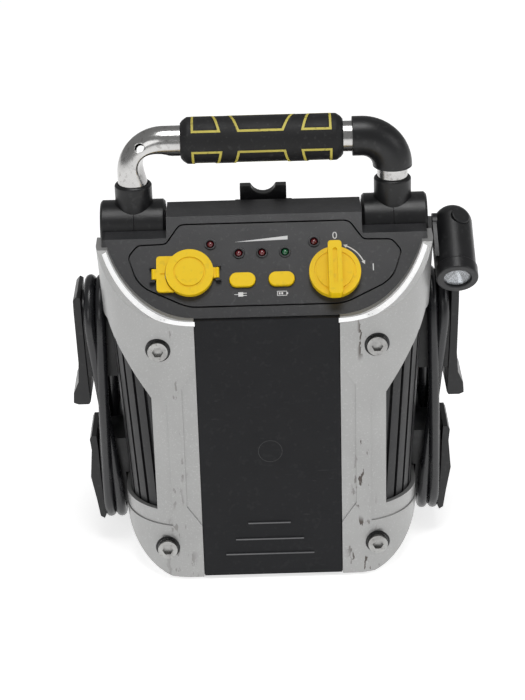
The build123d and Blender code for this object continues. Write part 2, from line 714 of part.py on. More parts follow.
def lead_coil():
    """The outer form of the wound lead: two turns side by side round both cleats."""
    tall = coil_high - coil_low
    depth = strand_pitch * turns
    inset = 2 * cable_radius + 0.3
    ring = SlotOverall(tall, 2 * coil_half_width) - SlotOverall(tall - 2 * inset, 2 * coil_half_width - 2 * inset)
    middle = (coil_low + coil_high) / 2
    plane = Plane(origin=(coil_face(middle), 0, middle), x_dir=(0, 0, 1), z_dir=(1, 0, 0))
    solid = plane * extrude(ring, depth)
    lean = math.degrees(math.atan((coil_inner_high - coil_inner_low) / tall))
    pivot = Pos(coil_face(middle), 0, middle)
    return pivot * Rot(0, lean, 0) * pivot.inverse() * solid


def lead(route, radius=cable_radius):
    """A tube along a route of straight runs joined by tangent arcs, each as large as its runs allow."""
    points = [Vector(*point) for point in route]
    radii = []
    for before, here, after in zip(points, points[1:], points[2:]):
        turn = (here - before).get_angle(after - here)
        shorter = min((here - before).length, (after - here).length)
        radii.append(0.45 * shorter / math.tan(math.radians(turn / 2)))
    path = FilletPolyline(*route, radius=radii)
    tube = swept(path, radius)
    print("lead length", round(path.length, 1), "radii", [round(bend, 1) for bend in radii],
          "volume share", round(tube.volume / (math.pi * radius ** 2 * path.length), 4))
    return tube


def cleats():
    """The right side's two cleats: a neck on the case and a flange that keeps the lead on it."""
    upper_flange = [(135.4, 204), (138, 205.5), (141, 202), (141, 193), (140, 152), (141, 136), (145, 127),
                    (145.5, 119), (142, 117.5), (134, 117.5), (132.6, 120), (133.2, 130), (134.4, 160)]
    lower_flange = [(130.2, 91), (134, 91), (135.5, 88), (134.6, 79), (136.5, 56), (133, 36), (131, 22),
                    (128, 20), (126.6, 23), (127.8, 38), (128.9, 58), (129.4, 79)]
    case_clear = envelope(0.02)
    low_armour = envelope(armour_thickness + 0.3) & block(0, 200, -160, armour_back + 0.3, -10, pocket_low + 1)
    made = []
    for flange, z, straight in ((upper_flange, neck_upper_z, -42), (lower_flange, neck_lower_z, 43)):
        plate = extruded_xz(flange, -flange_half_width, flange_half_width)
        reach = max(x for x, _ in flange) - 8.0
        neck = rod((95, 0, z), (1, 0, 0), neck_radius, reach - 95)
        low, high = sorted((z, z + straight))
        neck = neck + block(95, reach, -neck_radius, neck_radius, low, high)
        neck = neck - block(95, half_width(z) - 8, -50, 50, 0, 300)
        made.append(neck - case_clear - low_armour + plate)
    return made


def gland():
    """The sleeve on the right side that the lead comes out of, pointing down."""
    middle = (gland_low + gland_high) / 2
    body = block(100, gland_x + 7.5, gland_y - 8, gland_y + 8, gland_low + 5, gland_high) - envelope(0.02)
    body = body & block(half_width(middle) - 6, 200, 0, 100, 0, 300)
    nose = Plane(origin=(gland_x, gland_y, gland_low), z_dir=(0, 0, 1)) * Cone(
        5.6, 7, 6, align=(Align.CENTER, Align.CENTER, Align.MIN))
    plug = rod((gland_x - 12, gland_y, middle), (-1, 0, 0), cable_radius + 1.9, 8)
    return body + nose + plug


def clamp_lever():
    """The outer half of a spring clamp, with a handle below its pivot and a toothed jaw above."""
    outline = [(29, -79), (28, -55), (17, -22), (12, 0), (13.5, 25), (10.5, 48), (6, 57), (3.3, 57), (3.3, 40),
               (6, 36), (6, 14), (9, 0), (9, -16), (21, -52), (21, -77)]
    points = [(clamp_x + x, clamp_pivot_z + z) for x, z in outline]
    lever = extruded_xz(points, clamp_y - clamp_half_depth, clamp_y + clamp_half_depth)
    teeth = [block(clamp_x + 2.2, clamp_x + 4.5, clamp_y - clamp_half_depth, clamp_y + clamp_half_depth,
                   clamp_pivot_z + z, clamp_pivot_z + z + 1.6) for z in (54,)]
    return lever - combined(teeth)


def clamp_ears(inset):
    """The pivot ears of a lever, at both faces, inset from the clamp's sides."""
    ears = []
    for side in (-1, 1):
        far = clamp_y + side * (clamp_half_depth - inset)
        ear = rod((clamp_x, far, clamp_pivot_z), (0, -side, 0), clamp_ear_radius, clamp_ear)
        web = block(clamp_x, clamp_x + 10, min(far, far - side * clamp_ear), max(far, far - side * clamp_ear),
                    clamp_pivot_z - 5, clamp_pivot_z + 5)
        ears.append(ear + web)
    bore = rod((clamp_x, 60, clamp_pivot_z), (0, 1, 0), clamp_pin_radius + axle_clearance, 60)
    return combined(ears) - bore


def clamp():
    """The right clamp's fixed lever, moving lever, pin and spring."""
    fixed = clamp_lever() + clamp_ears(clamp_ear + clamp_ear_gap)
    swing = mirror(clamp_lever() + clamp_ears(0), Plane.YZ.offset(clamp_x))
    pin = rod((clamp_x, clamp_y - clamp_half_depth - 1, clamp_pivot_z), (0, 1, 0), clamp_pin_radius,
              2 * clamp_half_depth + 2)
    room = clamp_half_depth - 2 * clamp_ear - 2 * clamp_ear_gap
    spring = rod((clamp_x, clamp_y - room, clamp_pivot_z), (0, 1, 0), clamp_pin_radius + 2.6, 2 * room)
    spring = spring - rod((clamp_x, clamp_y - 9, clamp_pivot_z), (0, 1, 0), clamp_pin_radius + 0.2, 20)
    return fixed, swing, pin, spring


def clamp_post():
    foot = block(clamp_x - 10, clamp_x + 10, case_back + 0.02, case_back + 3, 176, 204)
    return foot + block(clamp_x - post_half_thickness, clamp_x + post_half_thickness, case_back + 2,
                        clamp_y + clamp_half_depth, 184, 196)


def battery_pack():
    wide, deep, tall = battery_size
    front = battery_back - deep
    cell = block(-wide / 2, wide / 2, front, battery_back, battery_low, battery_low + tall)
    posts = []
    for x in (-wide / 2 + 15, wide / 2 - 15):
        posts.append(rod((x, battery_back - 14, battery_low + tall), (0, 0, 1), 6,
                         terminal_height))
    tray = block(-wide / 2 + 9, wide / 2 - 9, front + 4, battery_back, battery_low - tray_thickness - 0.02,
                 battery_low - 0.02)
    legs = []
    for x in (-46, 46):
        legs.append(block(x - 4, x + 4, front + 8, battery_back - 8, foot_height + 2 * wall + 0.02,
                          battery_low - tray_thickness))
    return cell, posts, tray + combined(legs)


def link_route():
    """From a battery terminal back over the battery's edge, then down and out to the gland."""
    x = battery_size[0] / 2 - 15
    top = battery_low + battery_size[2] + terminal_height / 2
    middle = (gland_low + gland_high) / 2
    return [(x, battery_back - 9, top), (x + 0.5, battery_back + 7, top - 1),
            (x + 2.5, battery_back + 21, top - 9.5), (x + 6.5, gland_y - 6, top - 22.5),
            (x + 14.5, gland_y - 1, middle + 6.5), (gland_x - 19.5, gland_y, middle)]


def circuit_board():
    """The charging board on the rear wall: its posts, the board, and what stands on it."""
    inner = case_back - wall
    face = inner - 14
    board = block(-58, 42, face - board_thickness, face, 66, 150)
    posts = [rod((x, face, z), (0, 1, 0), 3, inner - face - 0.02) for x in (-52, 36) for z in (72, 144)]
    relay = block(-40, -16, face - board_thickness - 16, face - board_thickness + 0.01, 110, 140)
    coil = rod((8, face - board_thickness - 12, 124), (0, 1, 0), 10, 12.01)
    sink = block(-45, 20, face - board_thickness - 9, face - board_thickness + 0.01, 74, 92)
    return combined([board, *posts, relay, coil, sink])


def buzzer():
    face = case_back - wall - 14 - board_thickness
    return rod((28, face - 0.02, 92), (0, -1, 0), 7.5, 8) - rod((28, face - 9, 92), (0, 1, 0), 1.2, 5)


def charge_jack():
    barrel = rod((charge_x, case_back - 16, charge_z), (0, 1, 0), charge_radius - 0.05, 16)
    barrel = barrel - rod((charge_x, case_back - 11, charge_z), (0, 1, 0), 2.8, 20)
    return barrel + rod((charge_x, case_back - 12, charge_z), (0, 1, 0), 1.0, 10)


def charge_cover():
    """A small hinged cover over the charging jack, with its hinge above."""
    plate = block(charge_x - 10, charge_x + 10, case_back + 0.4, case_back + 3.2, charge_z - 11, charge_z + 10)
    barrel = rod((charge_x - 6.6, case_back + 2, charge_z + 12), (1, 0, 0), 1.6, 13.2)
    strap = block(charge_x - 6.6, charge_x + 6.6, case_back + 0.6, case_back + 3.0, charge_z + 9, charge_z + 12)
    return plate + strap + barrel - rod((charge_x - 20, case_back + 2, charge_z + 12), (1, 0, 0), 0.86, 40)


def charge_hinge():
    ears = [block(charge_x + side * 7.9 - 1, charge_x + side * 7.9 + 1, case_back + 0.02, case_back + 3.2,
                  charge_z + 10.9, charge_z + 13.8) for side in (-1, 1)]
    return combined(ears) + rod((charge_x - 8.5, case_back + 2, charge_z + 12), (1, 0, 0), 0.8, 17)


def case_screw(x, z):
    """A pan-head screw in the rear wall."""
    head = rod((x, case_back + 0.02, z), (0, 1, 0), 4, 2.2)
    return head - block(x - 0.6, x + 0.6, case_back + 1.2, case_back + 4, z - 3, z + 3)


def write(name, *solids):
    """Writes one node: a single solid, or a group of separate ones."""
    flat = [solid for shape in solids for solid in shape.solids()]
    shape = flat[0] if len(flat) == 1 else Compound(children=flat)
    export_step(shape, f"parts/{name}.step")


os.makedirs("parts", exist_ok=True)
front, hood, rear = case_parts()
write("front_case", front)
write("control_hood", hood)
write("rear_case", rear)
right_armour = armour()
write("right_armour", right_armour)
write("left_armour", mirrored(right_armour))
write("front_panel", front_panel())
bolts = [hex_socket_bolt(bolt_low), hex_socket_bolt(bolt_high)]
write("armour_bolts", *bolts, *[mirrored(bolt) for bolt in bolts])
write("base_plate", base_plate())
write("control_fascia", fascia())
write("power_knob", knob())
write("power_switch", power_switch())
write("port_button", push_button(button_x[0]))
write("status_button", push_button(button_x[1]))
write("outlet_socket", outlet_socket())
write("usb_port", usb_port())
write("outlet_cap", outlet_cap())
write("port_flap", port_flap())
flap_middle = (flap_low + flap_high) / 2
write("cover_hinges", leaf_hinge(cap_hinge_x, cap_s, 1), leaf_hinge(flap_left + 1.5, flap_middle, -1),
      charge_hinge())
write("red_indicators", *[indicator(place) for place in ("low", "middle", "outlet", "polarity")])
write("green_indicator", indicator("high"))
write("panel_board", panel_board())
write("rear_cradle", rear_cradle())
write("handle_tube", handle_tube())
write("handle_grip", handle_grip())
write("elbow_cover", elbow_cover())
write("handle_collars", collar(), mirrored(collar()))
inner_half = hub_half(hub_inner, leg_x - 0.1, False)
outer_half = hub_half(leg_x + 0.1, hub_outer, True)
write("handle_hubs", inner_half, outer_half, mirrored(inner_half), mirrored(outer_half))
write("handle_axles", axle(), mirrored(axle()))
lamp_body, lamp_bezel, lamp_reflector, lamp_lens, lamp_button = lamp_parts()
write("lamp_body", lamp_body)
write("lamp_bezel", lamp_bezel)
write("lamp_reflector", lamp_reflector)
write("lamp_lens", lamp_lens)
write("lamp_button", lamp_button)
write("lamp_bracket", lamp_bracket())
write("lamp_screw", lamp_screw())
upper_cleat, lower_cleat = cleats()
write("right_upper_cleat", upper_cleat)
write("right_lower_cleat", lower_cleat)
write("left_upper_cleat", mirrored(upper_cleat))
write("left_lower_cleat", mirrored(lower_cleat))
write("lead_glands", gland(), mirrored(gland()))
coil = lead_coil()
ends = [lead(lead_in_route), lead(lead_out_route)]
write("right_lead_coil", coil)
write("left_lead_coil", mirrored(coil))
write("right_lead_ends", *ends)
write("left_lead_ends", *[mirrored(end) for end in ends])
fixed_lever, moving_lever, clamp_pin, clamp_spring = clamp()
write("right_clamp_lever", fixed_lever)
write("left_clamp_lever", mirrored(fixed_lever))
write("right_clamp_jaw", moving_lever)
write("left_clamp_jaw", mirrored(moving_lever))
write("clamp_pins", clamp_pin, mirrored(clamp_pin))
write("clamp_springs", clamp_spring, mirrored(clamp_spring))
write("clamp_posts", clamp_post(), mirrored(clamp_post()))
cell, terminals, tray = battery_pack()
write("battery", cell)
write("battery_terminals", *terminals)
write("battery_tray", tray)
link = lead(link_route(), link_radius)
write("power_links", link, mirrored(link))
write("main_board", circuit_board())
write("alarm_buzzer", buzzer())
write("charge_jack", charge_jack())
write("charge_cover", charge_cover())
write("case_screws", *[case_screw(x, z) for x in (-30, 30) for z in (40, 190)])
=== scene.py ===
# Jump starter pack: moulded case, silver armour, sloping control panel, folding tube handle and wound leads.
# Metres. +Z is up and the control panel faces -Y.
import bmesh
import bpy
import math
from mathutils import Matrix, Vector


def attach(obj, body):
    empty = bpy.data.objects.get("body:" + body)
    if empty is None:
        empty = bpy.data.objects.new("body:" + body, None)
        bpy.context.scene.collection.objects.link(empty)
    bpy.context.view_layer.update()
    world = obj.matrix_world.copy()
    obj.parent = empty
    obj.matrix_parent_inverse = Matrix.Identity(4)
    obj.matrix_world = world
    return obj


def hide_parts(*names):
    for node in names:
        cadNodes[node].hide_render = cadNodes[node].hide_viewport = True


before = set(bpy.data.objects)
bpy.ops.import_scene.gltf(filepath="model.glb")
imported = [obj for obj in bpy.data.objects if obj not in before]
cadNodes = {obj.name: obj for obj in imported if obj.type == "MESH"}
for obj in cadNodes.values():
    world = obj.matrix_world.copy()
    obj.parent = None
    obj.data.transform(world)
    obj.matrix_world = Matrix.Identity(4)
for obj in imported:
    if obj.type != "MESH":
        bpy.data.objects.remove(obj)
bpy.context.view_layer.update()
print("frame loaded")

# camera

camera = {
    "aim": (0.0, 0.0, 0.139),
    "distance": 1.6,
    "elevation": 25.5,
    "roll": -1.6,
    "lens": 109.7,
    "shift": (-0.0076, 0.0171),
}


def makeCamera(look):
    data = bpy.data.cameras.new("viewCamera")
    data.lens = look["lens"]
    data.sensor_width = 36
    data.shift_x, data.shift_y = look["shift"]
    data.clip_end = 20
    rise = math.radians(look["elevation"])
    eye = bpy.data.objects.new("viewCamera", data)
    bpy.context.collection.objects.link(eye)
    back = Vector((0, -math.cos(rise), math.sin(rise)))
    turn = (-back).to_track_quat("-Z", "Y").to_matrix() @ Matrix.Rotation(math.radians(look["roll"]), 3, "Z")
    eye.matrix_world = Matrix.Translation(Vector(look["aim"]) + back * look["distance"]) @ turn.to_4x4()
    bpy.context.scene.camera = eye


makeCamera(camera)
print("camera placed")

# finishes


# where each pattern's noise starts and ends to show, with its scale and stretch
patterns = {
    "blotch": (0.35, 0.68),
    "blotchScale": 22,
    "speck": (0.60, 0.74),
    "scratchLine": (0.66, 0.70),
    "scratchPatch": (0.50, 0.62),
    "scratchPatchScale": 14,
    "wear": (0.42, 0.62),
    "wearScale": 120,
    "wearSpan": 0.03,
    "scuffMark": (0.575, 0.60),
    "scuffMarkScale": 150,
    "scuffMarkRun": (1.5, 1.0, 0.5),
    "scuffGroup": (0.43, 0.49),
    "scuffGroupScale": 34,
    "scuffHeights": (0.12, 0.02),
    "scuffReach": (0.0035, 0.016),
    "scuffFade": (1.0, 0.4),
    "scuffMiddle": (-0.01, 0.01),
    "scuffShares": (0.42, 1.0),
    "uneven": (0.3, 0.7),
    "unevenScale": 60,
    "grainDepth": 0.0002,
}


def surface(name, look):
    material = bpy.data.materials.new(name)
    material.use_nodes = True
    nodes, links = material.node_tree.nodes, material.node_tree.links
    shader = nodes["Principled BSDF"]
    place = nodes.new("ShaderNodeTexCoord")

    def noise(scale, stretch=(1, 1, 1), detail=3.0):
        spread = nodes.new("ShaderNodeMapping")
        spread.inputs["Scale"].default_value = stretch
        links.new(place.outputs["Object"], spread.inputs["Vector"])
        grain = nodes.new("ShaderNodeTexNoise")
        grain.inputs["Scale"].default_value = scale
        grain.inputs["Detail"].default_value = detail
        links.new(spread.outputs["Vector"], grain.inputs["Vector"])
        return grain.outputs["Fac"]

    def span(value, low, high, start=0.0, end=1.0):
        ranged = nodes.new("ShaderNodeMapRange")
        ranged.inputs["From Min"].default_value = low
        ranged.inputs["From Max"].default_value = high
        ranged.inputs["To Min"].default_value = start
        ranged.inputs["To Max"].default_value = end
        links.new(value, ranged.inputs["Value"])
        return ranged.outputs["Result"]

    def computed(operation, a, b=None):
        step = nodes.new("ShaderNodeMath")
        step.operation = operation
        for value, socket in ((a, step.inputs[0]), (b, step.inputs[1])):
            if isinstance(value, float):
                socket.default_value = value
            elif value is not None:
                links.new(value, socket)
        return step.outputs[0]

    def product(a, b):
        return computed("MULTIPLY", a, b)

    def blended(amount, under, over):
        mixer = nodes.new("ShaderNodeMix")
        mixer.data_type = "RGBA"
        links.new(amount, mixer.inputs[0])
        for value, socket in ((under, mixer.inputs[6]), (over, mixer.inputs[7])):
            if isinstance(value, tuple):
                socket.default_value = (*value, 1)
            else:
                links.new(value, socket)
        return mixer.outputs[2]

    blotches = noise(look.get("blotchScale", patterns["blotchScale"]))
    tone = blended(span(blotches, *patterns["blotch"]), look["colour"], look["shade"])
    if "speck" in look:  # fine flakes or dust
        specks = span(noise(look["speckScale"], detail=1.0), *patterns["speck"])
        tone = blended(product(specks, look["speckAmount"]), tone, look["speck"])
    if "scratch" in look:  # thin rubbed lines, gathered in patches
        lines = span(noise(look["scratchScale"], look["scratchRun"], 5.0), *patterns["scratchLine"])
        patches = span(noise(patterns["scratchPatchScale"], detail=1.0), *patterns["scratchPatch"])
        tone = blended(product(product(lines, patches), look["scratchAmount"]), tone, look["scratch"])
    if "wear" in look:  # rubbed along outward edges
        shape = nodes.new("ShaderNodeNewGeometry")
        edge = span(shape.outputs["Pointiness"], look["wearFrom"], look["wearFrom"] + patterns["wearSpan"])
        rubbed = product(edge, span(noise(patterns["wearScale"]), *patterns["wear"]))
        tone = blended(product(rubbed, look["wearAmount"]), tone, look["wear"])
    if "scuff" in look:  # chipped marks along the creases beside the middle panel, spread wider at the foot
        split = nodes.new("ShaderNodeSeparateXYZ")
        links.new(place.outputs["Object"], split.inputs[0])
        mirrored = computed("ABSOLUTE", split.outputs["X"])
        away = computed("ABSOLUTE", computed("SUBTRACT", mirrored, look["scuffLine"]))
        reach = span(split.outputs["Z"], *patterns["scuffHeights"], *patterns["scuffReach"])
        near = span(computed("DIVIDE", away, reach), *patterns["scuffFade"])
        right = span(split.outputs["X"], *patterns["scuffMiddle"], *patterns["scuffShares"])
        chips = noise(patterns["scuffMarkScale"], patterns["scuffMarkRun"], 6.0)
        marks = span(chips, *patterns["scuffMark"])
        groups = span(noise(patterns["scuffGroupScale"], detail=1.0), *patterns["scuffGroup"])
        tone = blended(product(product(product(near, marks), product(groups, right)), look["scuffAmount"]),
                       tone, look["scuff"])
    links.new(tone, shader.inputs["Base Color"])
    uneven = span(noise(patterns["unevenScale"], detail=4.0), *patterns["uneven"],
                  look["roughness"] - look["unevenness"], look["roughness"] + look["unevenness"])
    links.new(uneven, shader.inputs["Roughness"])
    shader.inputs["Metallic"].default_value = look.get("metallic", 0.0)
    shader.inputs["Coat Weight"].default_value = look.get("coat", 0.0)
    shader.inputs["Coat Roughness"].default_value = look.get("coatRoughness", 0.1)
    shader.inputs["Specular IOR Level"].default_value = look.get("specular", 0.5)
    shader.inputs["Transmission Weight"].default_value = look.get("clear", 0.0)
    shader.inputs["IOR"].default_value = look.get("ior", 1.5)
    if look.get("glow"):
        shader.inputs["Emission Color"].default_value = (*look["colour"], 1)
        shader.inputs["Emission Strength"].default_value = look["glow"]
    bump = nodes.new("ShaderNodeBump")
    bump.inputs["Strength"].default_value = look["grain"]
    bump.inputs["Distance"].default_value = patterns["grainDepth"]
    links.new(noise(look["grainScale"], detail=2.0), bump.inputs["Height"])
    links.new(bump.outputs["Normal"], shader.inputs["Normal"])
    return material


looks = {
    "mouldedBlack": {
        "colour": (0.011, 0.0112, 0.0122), "shade": (0.015, 0.0152, 0.0165), "roughness": 0.4,
        "specular": 0.42, "unevenness": 0.05, "grain": 0.3, "grainScale": 900,
        "speck": (0.12, 0.12, 0.12), "speckScale": 420, "speckAmount": 0.14,
        "scratch": (0.12, 0.12, 0.125), "scratchScale": 44, "scratchRun": (1.2, 1.0, 14),
        "scratchAmount": 0.22,
    },
    "hoodBlack": {
        "colour": (0.019, 0.0192, 0.021), "shade": (0.024, 0.0243, 0.0265), "roughness": 0.38,
        "specular": 0.45, "unevenness": 0.05, "grain": 0.28, "grainScale": 1000,
        "speck": (0.16, 0.16, 0.16), "speckScale": 380, "speckAmount": 0.12,
        "scratch": (0.15, 0.15, 0.155), "scratchScale": 30, "scratchRun": (14, 2.0, 3.0),
        "scratchAmount": 0.22,
    },
    "panelBlack": {
        "colour": (0.0062, 0.0066, 0.0082), "shade": (0.0074, 0.0078, 0.0096), "roughness": 0.46,
        "specular": 0.22, "unevenness": 0.04, "grain": 0.45, "grainScale": 620,
        "speck": (0.07, 0.07, 0.07), "speckScale": 240, "speckAmount": 0.07,
        "scratch": (0.1, 0.1, 0.105), "scratchScale": 52, "scratchRun": (1.2, 1.0, 7),
        "scratchAmount": 0.1,
    },
    "jointBlack": {
        "colour": (0.0085, 0.0086, 0.0095), "shade": (0.012, 0.0122, 0.0132), "roughness": 0.34,
        "specular": 0.42, "unevenness": 0.05, "grain": 0.2, "grainScale": 800, "speck": (0.1, 0.1, 0.1),
        "speckScale": 260, "speckAmount": 0.14, "wear": (0.07, 0.07, 0.074), "wearFrom": 0.54,
        "wearAmount": 0.35,
    },
    "gripRubber": {
        "colour": (0.0085, 0.0085, 0.0092), "shade": (0.0125, 0.0125, 0.0132), "roughness": 0.58,
        "specular": 0.35, "unevenness": 0.06, "grain": 0.55, "grainScale": 780,
        "speck": (0.08, 0.08, 0.08), "speckScale": 330, "speckAmount": 0.2,
    },
    "inlayYellow": {
        "colour": (0.64, 0.55, 0.1), "shade": (0.5, 0.42, 0.07), "roughness": 0.55, "unevenness": 0.06,
        "grain": 0.3, "grainScale": 700, "speck": (0.12, 0.1, 0.03), "speckScale": 300,
        "speckAmount": 0.55,
    },
    "silverPaint": {
        "colour": (0.385, 0.385, 0.38), "shade": (0.355, 0.355, 0.35), "roughness": 0.36,
        "unevenness": 0.04, "metallic": 0.5, "grain": 0.08, "grainScale": 1200,
        "speck": (0.66, 0.66, 0.67), "speckScale": 900, "speckAmount": 0.25, "coat": 0.2,
        "coatRoughness": 0.25, "scratch": (0.25, 0.25, 0.25), "scratchScale": 38,
        "scratchRun": (3.0, 1.5, 9), "scratchAmount": 0.18, "scuff": (0.045, 0.03, 0.022),
        "scuffLine": 0.0668, "scuffAmount": 0.9,
    },
    # near-white with a faint glow: painted highlight for the strips along the armour's upper edge
    "rimHighlightSilver": {
        "colour": (0.93, 0.93, 0.93), "shade": (0.88, 0.88, 0.88), "roughness": 0.3, "unevenness": 0.04,
        "metallic": 0.15, "grain": 0.06, "grainScale": 1200, "speck": (0.62, 0.62, 0.62),
        "speckScale": 500, "speckAmount": 0.2, "glow": 0.12,
    },
    # light grey for the three panel rib strips: painted highlight where the ribs catch the light
    "ribHighlightGrey": {
        "colour": (0.13, 0.13, 0.135), "shade": (0.09, 0.09, 0.095), "roughness": 0.45,
        "unevenness": 0.05, "grain": 0.2, "grainScale": 600,
    },
    "tubeChrome": {
        "colour": (0.58, 0.575, 0.565), "shade": (0.48, 0.475, 0.47), "roughness": 0.2,
        "unevenness": 0.06, "metallic": 1.0, "grain": 0.12, "grainScale": 300, "blotchScale": 60,
        "speck": (0.22, 0.21, 0.2), "speckScale": 340, "speckAmount": 0.45,
    },
    "boltZinc": {
        "colour": (0.4, 0.4, 0.39), "shade": (0.27, 0.265, 0.26), "roughness": 0.3, "unevenness": 0.07,
        "metallic": 1.0, "grain": 0.2, "grainScale": 900, "blotchScale": 160, "speck": (0.1, 0.09, 0.08),
        "speckScale": 520, "speckAmount": 0.5,
    },
    "yellowMoulding": {
        "colour": (0.93, 0.62, 0.006), "shade": (0.89, 0.59, 0.005), "roughness": 0.36, "specular": 0.28,
        "unevenness": 0.04, "grain": 0.12, "grainScale": 900, "speck": (0.42, 0.3, 0.03),
        "speckScale": 260, "speckAmount": 0.16,
    },
    "redLens": {
        "colour": (0.15, 0.006, 0.012), "shade": (0.1, 0.005, 0.009), "roughness": 0.12,
        "unevenness": 0.03, "grain": 0.02, "grainScale": 500, "coat": 0.6, "specular": 0.7,
    },
    "greenLens": {
        "colour": (0.008, 0.12, 0.045), "shade": (0.006, 0.085, 0.03), "roughness": 0.12,
        "unevenness": 0.03, "grain": 0.02, "grainScale": 500, "coat": 0.6, "specular": 0.7,
    },
    "lampGlass": {
        "colour": (0.8, 0.82, 0.84), "shade": (0.74, 0.76, 0.78), "roughness": 0.1, "unevenness": 0.03,
        "grain": 0.04, "grainScale": 300, "clear": 0.85, "ior": 1.45,
    },
    "lampMirror": {
        "colour": (0.74, 0.74, 0.75), "shade": (0.66, 0.66, 0.67), "roughness": 0.16, "unevenness": 0.04,
        "metallic": 1.0, "grain": 0.03, "grainScale": 400,
    },
    "cableJacket": {
        "colour": (0.011, 0.0112, 0.013), "shade": (0.015, 0.0153, 0.018), "roughness": 0.28,
        "unevenness": 0.05, "grain": 0.1, "grainScale": 500, "speck": (0.07, 0.07, 0.07),
        "speckScale": 300, "speckAmount": 0.12, "specular": 0.6,
    },
    "markWhite": {
        "colour": (0.74, 0.74, 0.74), "shade": (0.62, 0.62, 0.62), "roughness": 0.5, "unevenness": 0.05,
        "grain": 0.05, "grainScale": 800,
    },
    "clampRed": {
        "colour": (0.4, 0.016, 0.014), "shade": (0.32, 0.012, 0.012), "roughness": 0.42,
        "unevenness": 0.06, "grain": 0.25, "grainScale": 700, "speck": (0.12, 0.02, 0.02),
        "speckScale": 260, "speckAmount": 0.3,
    },
    "plainSteel": {
        "colour": (0.42, 0.42, 0.43), "shade": (0.33, 0.33, 0.34), "roughness": 0.34, "unevenness": 0.07,
        "metallic": 1.0, "grain": 0.15, "grainScale": 700, "blotchScale": 120,
        "speck": (0.16, 0.15, 0.14), "speckScale": 380, "speckAmount": 0.35,
    },
    "contactBrass": {
        "colour": (0.56, 0.42, 0.17), "shade": (0.46, 0.34, 0.14), "roughness": 0.3, "unevenness": 0.06,
        "metallic": 1.0, "grain": 0.1, "grainScale": 600, "blotchScale": 140,
    },
    "batteryCase": {
        "colour": (0.1, 0.1, 0.11), "shade": (0.13, 0.13, 0.14), "roughness": 0.5, "unevenness": 0.06,
        "grain": 0.2, "grainScale": 500,
    },
    "circuitBoard": {
        "colour": (0.015, 0.13, 0.05), "shade": (0.02, 0.17, 0.07), "roughness": 0.4, "unevenness": 0.06,
        "grain": 0.2, "grainScale": 400, "blotchScale": 200,
    },
    "linkRed": {
        "colour": (0.36, 0.012, 0.01), "shade": (0.28, 0.01, 0.01), "roughness": 0.35,
        "unevenness": 0.06, "grain": 0.1, "grainScale": 500,
    },
}
finishes = {name: surface(name, look) for name, look in looks.items()}
print("finishes made")

# helpers


def shown(name, mesh, body, finish, slotName, *replaced):
    piece = bpy.data.objects.new(name, mesh)
    bpy.context.collection.objects.link(piece)
    mesh.materials.clear()
    mesh.materials.append(finishes[finish])
    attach(piece, body)
    if replaced:
        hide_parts(*replaced)
    return piece


def fromBmesh(name, bm, smoothBelow=35):
    for face in bm.faces:
        face.smooth = True
    bm.normal_update()
    for edge in bm.edges:
        edge.smooth = len(edge.link_faces) == 2 and edge.calc_face_angle(0.0) < math.radians(smoothBelow)
    mesh = bpy.data.meshes.new(name)
    bm.to_mesh(mesh)
    bm.free()
    return mesh


def softEdges(piece, width, segments=2, angle=32):
    soften = piece.modifiers.new("softEdges", "BEVEL")
    soften.width = width
    soften.segments = segments
    soften.limit_method = "ANGLE"
    soften.angle_limit = math.radians(angle)
    soften.harden_normals = True
    soften.use_clamp_overlap = True
    return piece


cleaning = {"merge": 0.00001, "flat": 0.6}


def mergedCopy(node):
    bm = bmesh.new()
    bm.from_mesh(cadNodes[node].data)
    bmesh.ops.remove_doubles(bm, verts=bm.verts, dist=cleaning["merge"])
    bmesh.ops.dissolve_limit(bm, angle_limit=math.radians(cleaning["flat"]), verts=bm.verts, edges=bm.edges)
    return bm


def softened(node, name, body, finish, slotName, width=0.0006, segments=2, angle=32):
    piece = shown(name, fromBmesh(name, mergedCopy(node)), body, finish, slotName, node)
    return softEdges(piece, width, segments, angle)


panel = {"foot": (0.0, -0.077, 0.211), "angle": 42.0}  # the control slope's own plane


def onPanel(x, s, height=0.0):
    lean = math.radians(panel["angle"])
    along, out = Vector((0, math.sin(lean), math.cos(lean))), Vector((0, -math.cos(lean), math.sin(lean)))
    foot = Vector(panel["foot"]) + Vector((x, 0, 0)) + along * s + out * height
    return Matrix.Translation(foot) @ Matrix((Vector((1, 0, 0)), along, out)).transposed().to_4x4()


def addRing(bm, matrix, inner, outer, rise, count=48):
    slant = rise * 0.4
    loops = []
    for radius, height in ((inner, 0.0), (inner + slant, rise), (outer - slant, rise), (outer, 0.0)):
        loops.append([bm.verts.new(matrix @ Vector((radius * math.cos(math.tau * i / count),
                                                    radius * math.sin(math.tau * i / count), height)))
                      for i in range(count)])
    for low, high in zip(loops, loops[1:] + loops[:1]):
        for i in range(count):
            after = (i + 1) % count
            bm.faces.new((low[i], low[after], high[after], high[i]))


def facingFront(x, y, z):
    return Matrix.Translation((x, y, z)) @ Matrix.Rotation(math.pi / 2, 4, "X")


# leads

